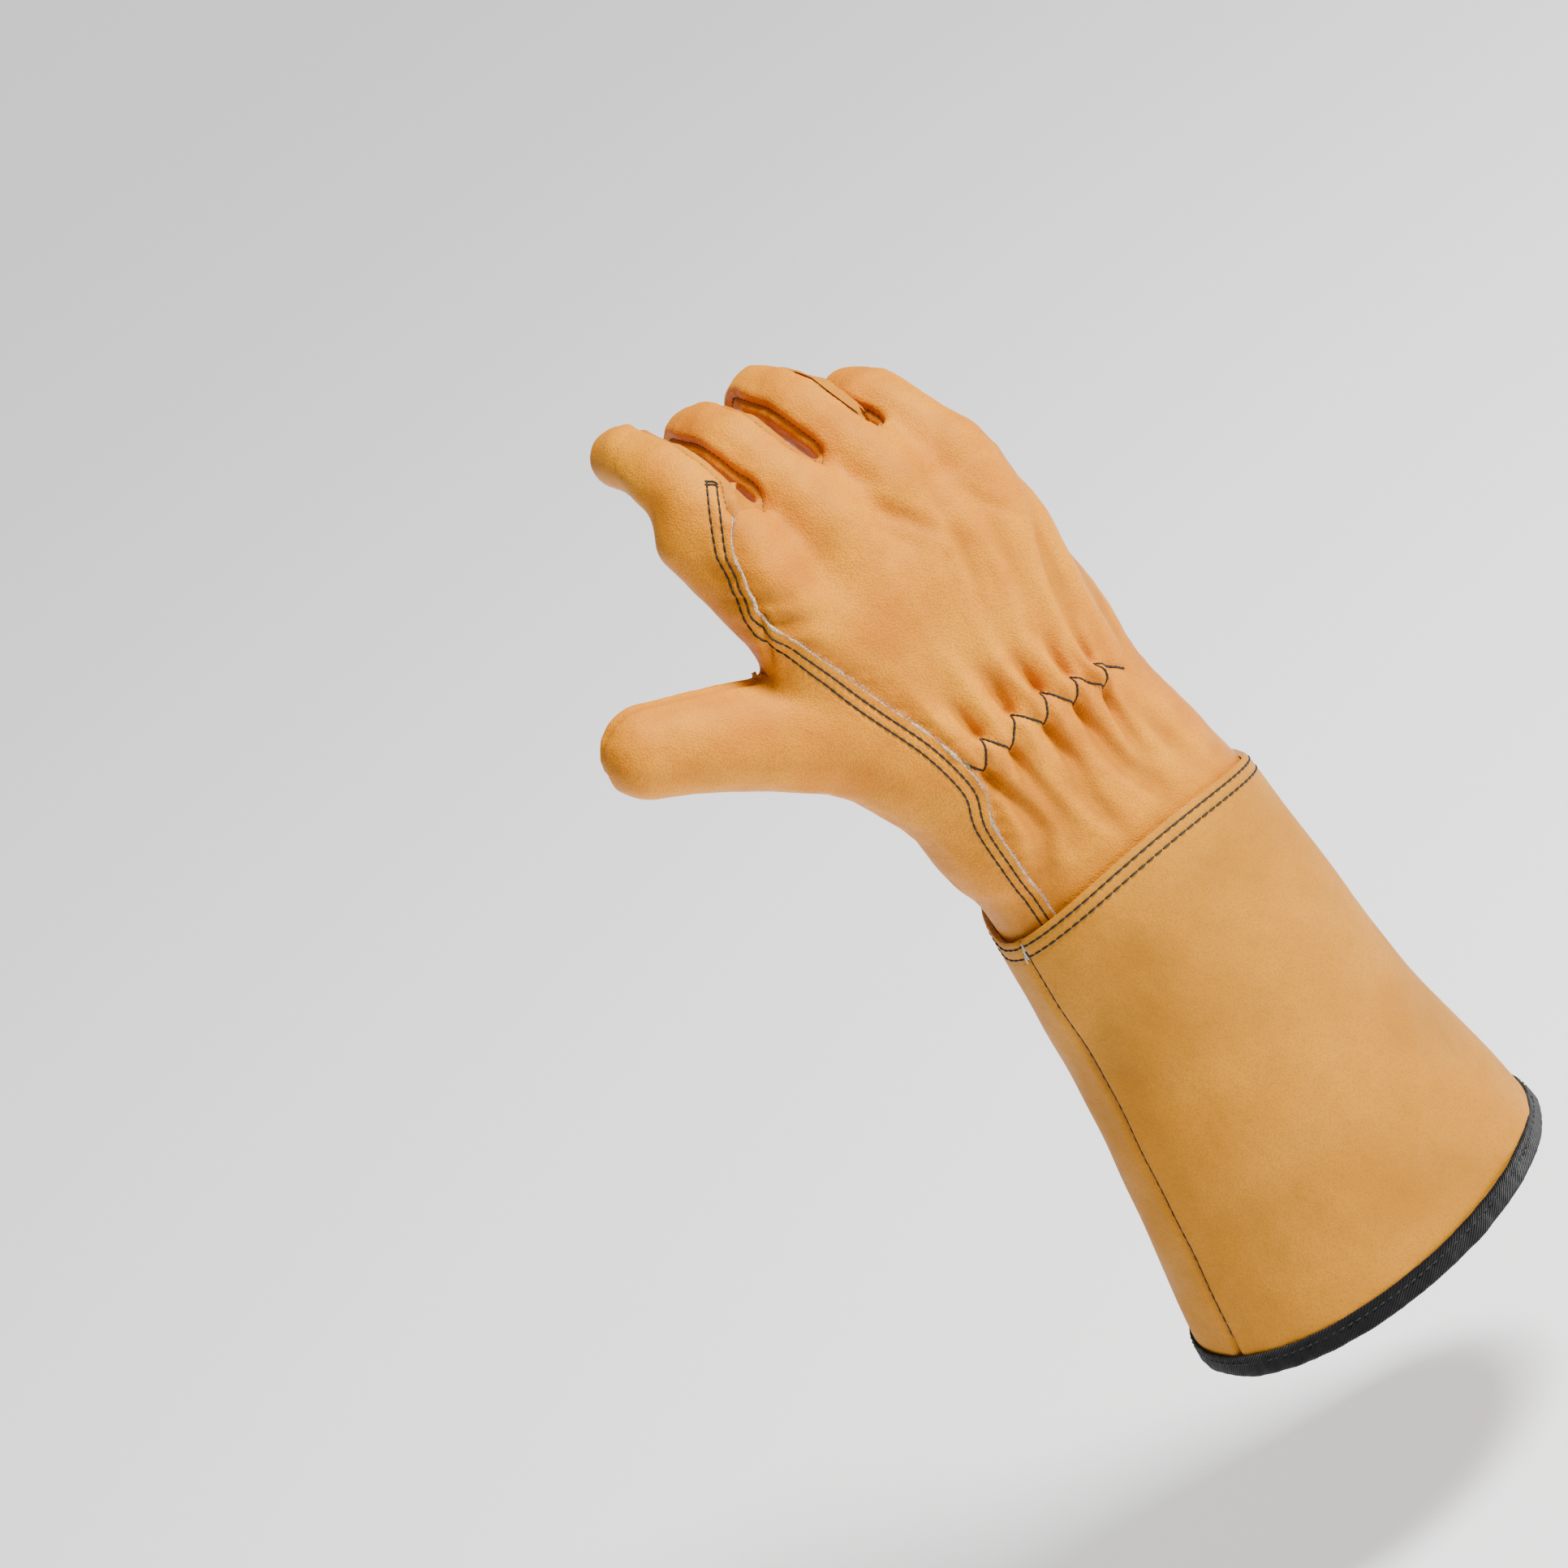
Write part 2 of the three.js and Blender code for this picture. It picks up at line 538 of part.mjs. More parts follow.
function backItem(f, across, s) {
  const outerEdge = f === 3 && across > 0;
  const crotch = f === 3 ? crotchAt(2) : mix(crotchAt(f - 1), crotchAt(f), 0.5 * (across + 1));
  const start = crotch - FORK_DROP * (1 - across * across);
  const loose = smooth((s - start) / OPENING_RISE);
  const wide = outerEdge ? 90 : seamTurn(f, s);
  const hand = handRay(f + across * (outerEdge ? 1 : 0.5), Math.min(s, crotch + OPENING_RISE));
  const ray = loose <= 0 ? hand : mixRay(hand, fingerRay(f, across * wide, s), loose);
  return { ray, own: f };
}

function palmItem(f, across, s) {
  const outerEdge = f === 3 && across > 0;
  const low = f === 0 ? crotchAt(0) : crotchAt(f - 1);
  const high = f === 3 ? crotchAt(2) : crotchAt(f);
  const crotch = mix(low, high, 0.5 * (across + 1));
  const start = crotch - FORK_DROP * (1 - across * across);
  const loose = smooth((s - start) / OPENING_RISE);
  const wide = outerEdge ? 90 : 180 - seamTurn(f, s);
  const level = Math.min(s, crotch + OPENING_RISE);
  const hand = handRay(palmPlace(8 - f - across * (outerEdge ? 1 : 0.5), level), level);
  const turn = outerEdge ? 180 - 90 * across : 180 - across * (180 - wide);
  const ray = loose <= 0 ? hand : mixRay(hand, fingerRay(f, turn, s), loose);
  return { ray, own: f };
}

// The crotch of the thumb, the corner of the lap seam and the seam that joins them
const LAP_CORNER_UP = 0.94 * HAND_LENGTH;
const THUMB_CORNER = THUMB_BASE_LENGTH + 0.07 * THUMB_LENGTH;
const THUMB_CROTCH = THUMB_BASE_LENGTH + 0.23 * THUMB_LENGTH;
const CORNER_ROW = THUMB_CORNER / THUMB_CROTCH;

// Rows and columns of the patches
const WRAP = [0, 0.3, 0.6, 0.85, 1];
const SEAM_ROWS = steps(0, 1, 11);
const FINGER_ROWS = [...SEAM_ROWS, ...steps(1, 2, 3).slice(1)];
const UPPER_ROWS = steps(0, 1, 5);
const THUMB_ROWS = steps(0, 1, 8);
const LOWER_ROWS = [
  ...steps(-1, 0, 4), ...steps(0, CORNER_ROW, 8).slice(1),
  ...[...WRAP].reverse().slice(1).map((u) => mix(1, CORNER_ROW, u)),
];
const PALM_ROWS = [...LOWER_ROWS, ...UPPER_ROWS.slice(1).map((v) => 1 + v)];

const handLeather = 0xd9a05b;
const parts = [];

// How far the upper leather stands up at the lap, and how far the back panel dips under it
const LAP_RISE = 0.5 * (HAND_LEATHER + SEAM_GAP);
const LAP_SLACK = 1.2;
const lapRise = (s) => LAP_RISE * smooth((s + 0.8 * CUFF_TOP_DROP) / 10);
const lapReach = LAP_WIDTH / (0.25 * HAND_WIDTH);

function backBody(place, s) {
  const beside = (place - lapPlace(s)) / lapReach;
  const under = lapRise(s) * (1 - smooth(-beside / 1.4)) - HAND_LEATHER - SEAM_GAP - LAP_SLACK;
  return { ray: handRay(place, s), level: under * (1 - smooth(beside / 1.4)) };
}

const backPatches = [];
for (const f of [1, 2, 3]) {
  const columns = f === 3 ? steps(-1, 1, 6) : steps(-1, 1, 4);
  const crotch = (across) => (f === 3 ? crotchAt(2) : mix(crotchAt(f - 1), crotchAt(f), 0.5 * (across + 1)));
  backPatches.push({
    rows: PALM_ROWS, columns,
    item: (v, across) => backItem(f, across, backUp(v, crotch(across), (f + 0.5 * across) / 3)),
  });
  backPatches.push({
    rows: FINGER_ROWS, columns,
    item: (v, across) => backItem(f, across, fingerUp(f, v, crotch(across))),
  });
}
backPatches.push({
  rows: PALM_ROWS, columns: steps(0, 1, 4),
  item: (v, u) => {
    const s = backUp(v, crotchAt(0), u / 6);
    return backBody(mix(lapPlace(s), 0.5, u), s);
  },
});
backPatches.push({
  rows: PALM_ROWS, columns: steps(-1, 0, 1),
  item: (v, u) => {
    const s = backUp(v, crotchAt(0), 0);
    return backBody(lapPlace(s) + u * lapReach, s);
  },
});

// Palm side. The line under the index bone, at this place, runs out to the thumb's crotch
const THUMB_SPLIT = 7.28;
const palmPlace = (place, s) => 4 + (place - 4) * mix(0.82, 1, smooth((s + 20) / 90));
const towardsCrotch = (share) => smooth(clamp01(share) ** 2);
const thumbSplit = (s) => mix(THUMB_SPLIT, 9, towardsCrotch(s / THUMB_CROTCH_UP));

function indexFront(u, s) {
  const hand = handRay(mix(palmPlace(7.5, s), thumbSplit(s), u), s);
  const loose = smooth((s - crotchAt(0) + FORK_DROP * u) / OPENING_RISE);
  const turn = mix(180 - seamTurn(0, s), 270, u);
  const ray = loose <= 0 ? hand : mixRay(hand, fingerRay(0, turn, s), loose);
  return { ray, own: 0 };
}

function indexWrap(u, s) {
  const place = mix(9, 10 + lapPlace(s), u);
  const hand = handRay(place, s);
  const loose = smooth((s - crotchAt(0) + 8 * (1 - u)) / OPENING_RISE);
  const turn = mix(270, 360 + seamTurn(0, s), u);
  const ray = loose <= 0 ? hand : mixRay(hand, fingerRay(0, turn, s), loose);
  const onLap = 1 - smooth((s - crotchAt(0)) / 8);
  const level = lapRise(s) * onLap * smooth((u - 0.65) / 0.35);
  return { ray, own: 0, level };
}
const wrapFoot = (u) => mix(THUMB_CROTCH_UP, LAP_CORNER_UP, u);

// Turns round the thumb: of its outer seam at the wrist and past its base, and of its seam into
// the crotch, with the palm's and the back's turns that lead there
const TURNS = { outerLow: 188, outerHigh: 238, crotch: 80, palm: 165, back: -20 };
const outerTurn = (s) => mix(TURNS.outerLow, TURNS.outerHigh, smooth((s + 10) / (1.25 * THUMB_BASE_LENGTH)));
const thumbLoose = (s) => smooth((s - THUMB_CROTCH) / 10);

function thumbFront(u, s) {
  const split = s < 0 ? s : Math.min(1, s / THUMB_CROTCH) * THUMB_CROTCH_UP;
  const hand = handRay(thumbSplit(split), split);
  const inner = mixRay(hand, thumbRay(TURNS.crotch, s), thumbLoose(s));
  const turn = mix(mix(TURNS.palm, TURNS.crotch, towardsCrotch(s / THUMB_CROTCH)), outerTurn(s), u);
  const blend = Math.max(smooth(u / 0.6), thumbLoose(s));
  if (u === 0) return { ray: inner };
  return { ray: mixRay(inner, thumbRay(turn, s), blend) };
}

function thumbSeam(s) {
  if (s >= THUMB_CORNER) {
    const u = clamp01((THUMB_CROTCH - s) / (THUMB_CROTCH - THUMB_CORNER));
    return indexWrap(u, wrapFoot(u));
  }
  const up = s < 0 ? s : (s / THUMB_CORNER) * LAP_CORNER_UP;
  return { ray: handRay(lapPlace(up), up), level: lapRise(up) };
}

function thumbBack(u, s) {
  const seam = thumbSeam(s);
  const inner = mixRay(seam.ray, thumbRay(TURNS.crotch, s), thumbLoose(s));
  const level = (seam.level || 0) * (1 - smooth(u / 0.16));
  if (u === 0) return { ray: inner, level };
  const turn = mix(mix(TURNS.back, TURNS.crotch, smooth(s / THUMB_CROTCH)), outerTurn(s) - 360, u);
  const blend = Math.max(smooth(u / 0.4), thumbLoose(s));
  return { ray: mixRay(inner, thumbRay(turn, s), blend), level };
}

const thumbEnd = thumb.tip + THUMB.rayShare * THUMB_THICKNESS * CLOSE_TURN * DEGREE;
const palmPatches = [];
for (const f of [1, 2, 3]) {
  const columns = f === 3 ? steps(-1, 1, 6) : steps(-1, 1, 4);
  const crotch = (across) => (f === 3 ? crotchAt(2) : mix(crotchAt(f - 1), crotchAt(f), 0.5 * (across + 1)));
  palmPatches.push({
    flip: true, rows: PALM_ROWS, columns,
    item: (v, across) => palmItem(f, across, palmUp(v, crotch(across))),
  });
  palmPatches.push({
    flip: true, rows: FINGER_ROWS, columns,
    item: (v, across) => palmItem(f, across, fingerUp(f, v, crotch(across))),
  });
}
const FRONT = steps(0, 1, 5);
palmPatches.push({ rows: PALM_ROWS, columns: FRONT, item: (v, u) => indexFront(u, palmUp(v, crotchAt(0))) });
palmPatches.push({
  rows: FINGER_ROWS, columns: FRONT,
  item: (v, u) => indexFront(u, fingerUp(0, v, crotchAt(0))),
});
palmPatches.push({
  rows: UPPER_ROWS, columns: WRAP,
  item: (v, u) => indexWrap(u, mix(wrapFoot(u), crotchAt(0), v)),
});
palmPatches.push({
  rows: FINGER_ROWS, columns: WRAP,
  item: (v, u) => indexWrap(u, fingerUp(0, v, crotchAt(0))),
});
palmPatches.push({
  rows: LOWER_ROWS, columns: FRONT,
  item: (v, u) => thumbFront(u, v < 0 ? -v * HEM : v * THUMB_CROTCH),
});
palmPatches.push({
  rows: THUMB_ROWS, columns: FRONT,
  item: (v, u) => thumbFront(u, mix(THUMB_CROTCH, thumbEnd, v)),
});

const THUMB_ACROSS = [0, 0.06, 0.13, 0.22, 0.34, 0.48, 0.62, 0.76, 0.88, 1];
const thumbPatches = [
  {
    flip: true, rows: LOWER_ROWS, columns: THUMB_ACROSS,
    item: (v, u) => thumbBack(u, v < 0 ? -v * HEM : v * THUMB_CROTCH),
  },
  {
    flip: true, rows: THUMB_ROWS, columns: THUMB_ACROSS,
    item: (v, u) => thumbBack(u, mix(THUMB_CROTCH, thumbEnd, v)),
  },
];

// The strip between fingers f and f + 1: its rows run down one finger's side seams, through the
// crotch and up the next finger. Beside the index finger the back edge first follows the top of
// the back panel's shoulder; c crosses the strip from the palm seam (-1) to the back seam (1)
const SHOULDER = steps(0, 1, 4);
const STRIP_INSET = 3 * SEAM_GAP;
function stripRows(f) {
  const down = [...SEAM_ROWS].reverse().map((v) => ({ own: f, v, shoulder: 1 }));
  const corner = f === 0 ? [...SHOULDER].reverse().slice(1).map((shoulder) => ({ own: f, v: 0, shoulder })) : [];
  return [...down, ...corner, ...SEAM_ROWS.slice(1).map((v) => ({ own: f + 1, v, shoulder: 1 }))];
}

function stripItem(f, row, c) {
  const { own, v } = row;
  const side = own === f ? 1 : -1;
  const foot = crotchAt(f);
  const s = mix(foot, seamEnd(own), v);
  let back;
  let palm;
  let out = v;
  if (own === 0) {
    out = mix(row.shoulder * SEAM_ROWS[1], 1, v);
    back = v === 0 ? handRay(mix(0.5, lapPlace(foot), row.shoulder), foot) : indexWrap(1, s).ray;
    palm = indexFront(0, mix(foot, seamEnd(own), out)).ray;
  } else {
    back = backItem(own, side, s).ray;
    palm = palmItem(own, side, s).ray;
  }
  const frame = fingerFrame(fingers[own], s);
  const middle = handFrame(f + 0.5, foot);
  const apart = smooth((out * (seamEnd(own) - foot)) / OPENING_RISE);
  const push = along(
    scaled(middle.past, 1 - apart),
    frame.side, side * apart);
  const ray = mixRay(palm, back, 0.5 * (c + 1));
  const reach = FINGER_THICKNESS * 0.5 * (1 - c * c);
  ray.aim = along(ray.aim, push, reach * mix(1, 0.3, apart));
  return { ray, own };
}

const stripPatches = (f) => [{
  rows: stripRows(f), columns: steps(-1, 1, 4), item: (row, c) => stripItem(f, row, c),
}];

// The cuff: rays at one height round the arm, turn 90 at the middle of the back
const MOUTH = -CUFF_TOP_DROP - CUFF_LENGTH;
const CUFF_SEAMS = { thumbSide: 163, outside: -5 };
function cuffRay(turn, z) {
  const centre = readRows(SECTIONS, 'at', 'shift', z);
  const x = 0.5 * readRows(SECTIONS, 'at', 'width', z) * Math.cos(turn * DEGREE);
  const y = -0.5 * readRows(SECTIONS, 'at', 'depth', z) * Math.sin(turn * DEGREE);
  return { from: [centre + 0.3 * x, 0.3 * y, z], aim: [centre + x, y, z] };
}
function cuffTop(turn) {
  const rise = Math.sin(turn * DEGREE);
  return -CUFF_TOP_DROP + (rise > 0 ? CUFF_ARCH_BACK : CUFF_ARCH_PALM) * Math.abs(rise) ** 1.6;
}
// The mouth's plane hangs lower on the thumb side
const mouthAt = (turn) => MOUTH + 0.5 * MOUTH_SLANT * Math.cos(turn * DEGREE);
function cuffPatches(from, to) {
  const level = SEAM_GAP + CUFF_LEATHER;
  return [{
    flip: true, rows: steps(0, 1, 9), columns: steps(from, to, 20),
    item: (v, turn) => ({
      ray: cuffRay(turn, mix(mouthAt(turn) + TAPE + SEAM_GAP, cuffTop(turn), v)), level, plain: true,
    }),
  }];
}

// The tape folded round the mouth: one closed profile carried round the cuff
function bindingMesh() {
  const outside = 2 * SEAM_GAP + CUFF_LEATHER;
  const profile = [
    [outside + TAPE, TAPE_WIDTH], [outside + TAPE, 0.6 * TAPE], [outside + 0.4 * TAPE, 0],
    [-0.4 * TAPE, 0], [-TAPE, 0.6 * TAPE], [-TAPE, TAPE_WIDTH], [0, TAPE_WIDTH], [0, TAPE],
    [outside, TAPE], [outside, TAPE_WIDTH],
  ];
  const turns = [
    ...steps(CUFF_SEAMS.outside, CUFF_SEAMS.thumbSide, 20).slice(1),
    ...steps(CUFF_SEAMS.thumbSide, CUFF_SEAMS.outside + 360, 20).slice(1),
  ];
  const around = turns.length;
  const points = [];
  const index = [];
  for (const turn of turns) {
    for (const [level, up] of profile) points.push(surfacePoint(cuffRay(turn, mouthAt(turn) + up), level, -1));
  }
  const count = profile.length;
  for (let i = 0; i < around; i += 1) {
    for (let j = 0; j < count; j += 1) {
      const a = i * count + j;
      const b = i * count + ((j + 1) % count);
      const c = ((i + 1) % around) * count + ((j + 1) % count);
      const d = ((i + 1) % around) * count + j;
      index.push(a, c, b, a, d, c);
    }
  }
  return solidMesh('cuff_binding', 0x111114, 0.8, points, index);
}

parts.push(leatherSheet('back_panel', handLeather, 0.6, HAND_LEATHER, backPatches));
parts.push(leatherSheet('palm_panel', handLeather, 0.6, HAND_LEATHER, palmPatches));
parts.push(leatherSheet('thumb_panel', handLeather, 0.6, HAND_LEATHER, thumbPatches));
['index_middle', 'middle_ring', 'ring_little'].forEach((name, f) => {
  parts.push(leatherSheet(`fourchette_${name}`, 0xd09a58, 0.6, HAND_LEATHER, stripPatches(f), STRIP_INSET));
});
const cuffLeather = 0xd8ac74;
parts.push(leatherSheet('cuff_back', cuffLeather, 0.55, CUFF_LEATHER,
  cuffPatches(CUFF_SEAMS.outside, CUFF_SEAMS.thumbSide)));
parts.push(leatherSheet('cuff_palm', cuffLeather, 0.55, CUFF_LEATHER,
  cuffPatches(CUFF_SEAMS.thumbSide, CUFF_SEAMS.outside + 360)));
parts.push(bindingMesh());

const glove = new THREE.Group();
glove.name = 'rose_pruning_gauntlet';
for (const part of parts) glove.add(part);

export default glove;
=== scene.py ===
import math
import bpy
import bmesh
import numpy as np
from mathutils import Matrix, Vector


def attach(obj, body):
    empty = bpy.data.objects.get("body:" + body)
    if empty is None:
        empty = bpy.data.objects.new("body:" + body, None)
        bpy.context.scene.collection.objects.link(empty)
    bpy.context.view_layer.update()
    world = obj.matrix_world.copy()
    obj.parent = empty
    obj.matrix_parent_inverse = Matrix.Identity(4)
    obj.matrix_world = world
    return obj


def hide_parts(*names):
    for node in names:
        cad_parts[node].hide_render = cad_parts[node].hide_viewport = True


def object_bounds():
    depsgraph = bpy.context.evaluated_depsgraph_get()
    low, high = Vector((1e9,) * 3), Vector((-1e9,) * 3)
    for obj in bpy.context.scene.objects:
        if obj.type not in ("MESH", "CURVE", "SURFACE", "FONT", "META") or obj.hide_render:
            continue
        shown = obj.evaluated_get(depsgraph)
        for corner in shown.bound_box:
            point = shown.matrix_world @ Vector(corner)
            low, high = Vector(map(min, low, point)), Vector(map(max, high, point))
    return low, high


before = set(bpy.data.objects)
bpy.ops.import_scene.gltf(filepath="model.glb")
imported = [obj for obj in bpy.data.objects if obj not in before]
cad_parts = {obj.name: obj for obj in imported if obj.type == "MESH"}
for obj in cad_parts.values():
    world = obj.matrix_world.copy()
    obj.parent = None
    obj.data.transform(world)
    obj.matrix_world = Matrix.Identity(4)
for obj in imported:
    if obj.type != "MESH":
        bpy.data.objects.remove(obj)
cad_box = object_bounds()

# The studio: a pale floor well under the glove, which is held up by its wrist, one soft key
# light above the thumb side, a wide fill on the other side, and the camera where the
# photographer stood, rolled so that the glove lies across the picture.
TOWARD_THUMB = math.radians(18)
LOOK_DOWN = math.radians(20)
CAMERA_AWAY = 1.6
FRAME_WIDTH = 0.522
ROLL_ACROSS = 0.546
ROLL_UP = 0.838
FRAME_SHIFT = (-0.0835, -0.0092)

right = np.array([math.cos(TOWARD_THUMB), -math.sin(TOWARD_THUMB), 0.0])
ahead = np.array([
    math.sin(TOWARD_THUMB) * math.cos(LOOK_DOWN),
    math.cos(TOWARD_THUMB) * math.cos(LOOK_DOWN),
    -math.sin(LOOK_DOWN),
])
above = np.cross(right, ahead)
picture_right = ROLL_UP * right - ROLL_ACROSS * above
picture_up = ROLL_ACROSS * right + ROLL_UP * above


def from_camera(across, up, away):
    """A point across and up the picture, and away from the wrist towards the camera."""
    return across * picture_right + up * picture_up - away * ahead


def aim_matrix(place, side, top, back):
    """The matrix whose columns are the three axes of a camera or lamp, and its place."""
    matrix = Matrix.Identity(4)
    for row in range(3):
        matrix[row][0] = side[row]
        matrix[row][1] = top[row]
        matrix[row][2] = back[row]
        matrix[row][3] = place[row]
    return matrix


camera_data = bpy.data.cameras.new("photographer")
camera_data.lens = camera_data.sensor_width * CAMERA_AWAY / FRAME_WIDTH
camera = bpy.data.objects.new("photographer", camera_data)
camera_place = from_camera(0, 0, CAMERA_AWAY)
camera_back = camera_place - from_camera(FRAME_SHIFT[0], FRAME_SHIFT[1], 0)
camera_back /= np.linalg.norm(camera_back)
camera_side = np.cross(picture_up, camera_back)
camera_side /= np.linalg.norm(camera_side)
camera.matrix_world = aim_matrix(
    camera_place, camera_side, np.cross(camera_back, camera_side), camera_back)
bpy.context.scene.collection.objects.link(camera)
bpy.context.scene.camera = camera


def soft_light(name, across, up, away, size, watts):
    """A square lamp at a place in the picture, turned to face the middle of the glove."""
    lamp_data = bpy.data.lights.new(name, "AREA")
    lamp_data.size = size
    lamp_data.energy = watts
    lamp = bpy.data.objects.new(name, lamp_data)
    place = from_camera(across, up, away)
    back = place / np.linalg.norm(place)
    side = np.cross(picture_up, back)
    side /= np.linalg.norm(side)
    lamp.matrix_world = aim_matrix(place, side, np.cross(back, side), back)
    bpy.context.scene.collection.objects.link(lamp)


soft_light("key_softbox", across=0.1, up=1.85, away=1.15, size=0.55, watts=112.0)
soft_light("fill_softbox", across=1.8, up=-0.3, away=1.2, size=1.6, watts=15.0)

world = bpy.data.worlds.new("studio_air")
world.use_nodes = True
air = world.node_tree.nodes["Background"]
air.inputs["Color"].default_value = (1.0, 0.99, 0.975, 1.0)
air.inputs["Strength"].default_value = 0.22
bpy.context.scene.world = world

FLOOR_HALF = 40.0
FLOOR_DROP = 0.09
floor_z = cad_box[0][2] - FLOOR_DROP
floor_mesh = bpy.data.meshes.new("studio_floor")
floor_mesh.from_pydata(
    [(-FLOOR_HALF, -FLOOR_HALF, floor_z), (FLOOR_HALF, -FLOOR_HALF, floor_z),
     (FLOOR_HALF, FLOOR_HALF, floor_z), (-FLOOR_HALF, FLOOR_HALF, floor_z)],
    [], [(0, 1, 2, 3)])
floor = bpy.data.objects.new("studio_floor", floor_mesh)
floor_paint = bpy.data.materials.new("pale_floor")
floor_paint.use_nodes = True
floor_shader = floor_paint.node_tree.nodes["Principled BSDF"]
floor_shader.inputs["Base Color"].default_value = (0.93, 0.93, 0.92, 1)
floor_shader.inputs["Roughness"].default_value = 0.9
floor_shader.inputs["Emission Color"].default_value = (1, 1, 1, 1)
floor_shader.inputs["Emission Strength"].default_value = 0.8
floor_mesh.materials.append(floor_paint)
bpy.context.scene.collection.objects.link(floor)

# The back panel: one piece of golden grain leather over the back of the hand and the backs of
# the middle, ring and little fingers. It is shaped on the hand's own form, so the form's
# sizes, in millimetres, and the rays that find its surface come here, ahead of the panel.
HAND_LENGTH = 104
HAND_WIDTH = 106
HAND_DEPTH = 42
WRIST_WIDTH = 95
WRIST_DEPTH = 60
CUFF_TOP_WIDTH = 103
CUFF_TOP_DEPTH = 76
CUFF_TOP_DROP = 44
CUFF_LENGTH = 171
MOUTH_WIDTH = 143
MOUTH_DEPTH = 112
MOUTH_SLANT = 7
TUCK_IN = 9
FINGER_LENGTH = 97
FINGER_THICKNESS = 24
CROTCH_RISE = 22
THUMB_LENGTH = 79
THUMB_BASE_LENGTH = 60
THUMB_THICKNESS = 36
HAND_LEATHER = 1.5
METRES = 0.001

FINGERS = [
    dict(across=-0.4, up=1, long=0.94, thick=1.03, lean=5, bends=(30, 35, 25)),
    dict(across=-0.15, up=1, long=1, thick=1.02, lean=8, bends=(40, 45, 30)),
    dict(across=0.095, up=0.965, long=0.97, thick=0.98, lean=9, bends=(37, 42, 30)),
    dict(across=0.31, up=0.92, long=0.76, thick=0.88, lean=12, bends=(40, 42, 30)),
]
MIDDLE_JOINT = 0.47
END_JOINT = 0.75
TIP_TAPER = 0.84
TIP_CLOSED = math.radians(89)
THUMB_TIP_RADIUS = 0.43 * THUMB_THICKNESS
THUMB = dict(across=-0.2, deep=0.03, leans=(37, 21, 8), flex=6, joint=0.6)
HEM = -CUFF_TOP_DROP - 0.5 * TUCK_IN

# Heights, middles, widths, depths and roundness of the cuff, wrist and palm, bottom to top
SECTIONS = dict(
    at=np.array([
        -CUFF_TOP_DROP - CUFF_LENGTH, -CUFF_TOP_DROP - 0.45 * CUFF_LENGTH, -CUFF_TOP_DROP,
        0.06 * HAND_LENGTH, 0.45 * HAND_LENGTH, 0.9 * HAND_LENGTH]),
    shift=np.array([
        0.06 * MOUTH_WIDTH, 0.055 * MOUTH_WIDTH, 0.075 * CUFF_TOP_WIDTH,
        0.02 * WRIST_WIDTH, -0.012 * HAND_WIDTH, -0.058 * HAND_WIDTH]),
    width=np.array([
        MOUTH_WIDTH, 0.5 * (CUFF_TOP_WIDTH + MOUTH_WIDTH) - 0.06 * MOUTH_WIDTH, CUFF_TOP_WIDTH,
        WRIST_WIDTH, 0.955 * HAND_WIDTH, 0.94 * HAND_WIDTH]),
    depth=np.array([
        MOUTH_DEPTH, 0.5 * (CUFF_TOP_DEPTH + MOUTH_DEPTH), CUFF_TOP_DEPTH,
        WRIST_DEPTH, 1.12 * HAND_DEPTH, 0.96 * HAND_DEPTH]),
    square=np.array([2, 2, 2.1, 2.2, 2.5, 2.7]),
)

# The lap seam over the back: up the hand, and its place between the thumb edge (-1), the
# index bone (0) and the middle bone (1)
LAP_PATH = dict(
    at=np.array([-0.52, -0.3, 0, 0.13, 0.33, 0.55, 0.7, 0.83, 0.94, 1.12, 1.21]),
    place=np.array([-0.02, 0, 0.05, 0.26, 0.27, 0.05, -0.13, -0.36, -0.58, -0.35, 0.08]),
)


def smooth(value):
    """Rises from 0 to 1 over 0 to 1, level at both ends: 3x squared less 2x cubed."""
    x = np.clip(value, 0, 1)
    return x * x * (3 - 2 * x)


def mix(low, high, share):
    """The value a share of the way from low to high."""
    return low + (high - low) * share


def lengths(vectors):
    """The length of each row of an array of vectors."""
    return np.sqrt((vectors ** 2).sum(-1))


def unit(vectors):
    """Each vector divided by its own length."""
    return vectors / lengths(vectors)[..., None]


def read_rows(table, column, place):
    """A smooth curve through a table's column: cubic between rows, slopes from their neighbours."""
    at = table["at"]
    values = table[column]
    ends = np.arange(len(at))
    before = np.maximum(ends - 1, 0)
    after = np.minimum(ends + 1, len(at) - 1)
    slopes = (values[after] - values[before]) / (at[after] - at[before])
    place = np.clip(place, at[0], at[-1])
    low = np.clip(np.searchsorted(at, place, side="right") - 1, 0, len(at) - 2)
    span = at[low + 1] - at[low]
    x = (place - at[low]) / span
    x2 = x * x
    x3 = x2 * x
    return ((2 * x3 - 3 * x2 + 1) * values[low] + (x3 - 2 * x2 + x) * span * slopes[low]
            + (3 * x2 - 2 * x3) * values[low + 1] + (x3 - x2) * span * slopes[low + 1])


def bone_line(start, length, lean_at, flex_at):
    """A bone's middle line, a step each millimetre along its lean and its bend to the palm,
    with the directions past its end, out of its back and to its side."""
    s = np.arange(0, math.ceil(length) + 2)
    lean = np.radians(lean_at(s))
    flex = np.radians(flex_at(s))
    none = np.zeros_like(lean)
    past = np.stack([-np.sin(lean) * np.cos(flex), np.sin(flex), np.cos(lean) * np.cos(flex)], 1)
    back = np.stack([-np.sin(lean) * np.sin(flex), -np.cos(flex), np.cos(lean) * np.sin(flex)], 1)
    side = np.stack([np.cos(lean), none, np.sin(lean)], 1)
    point = np.array(start) + np.concatenate([np.zeros((1, 3)), np.cumsum(past, 0)[:-1]])
    return np.stack([point, past, back, side])


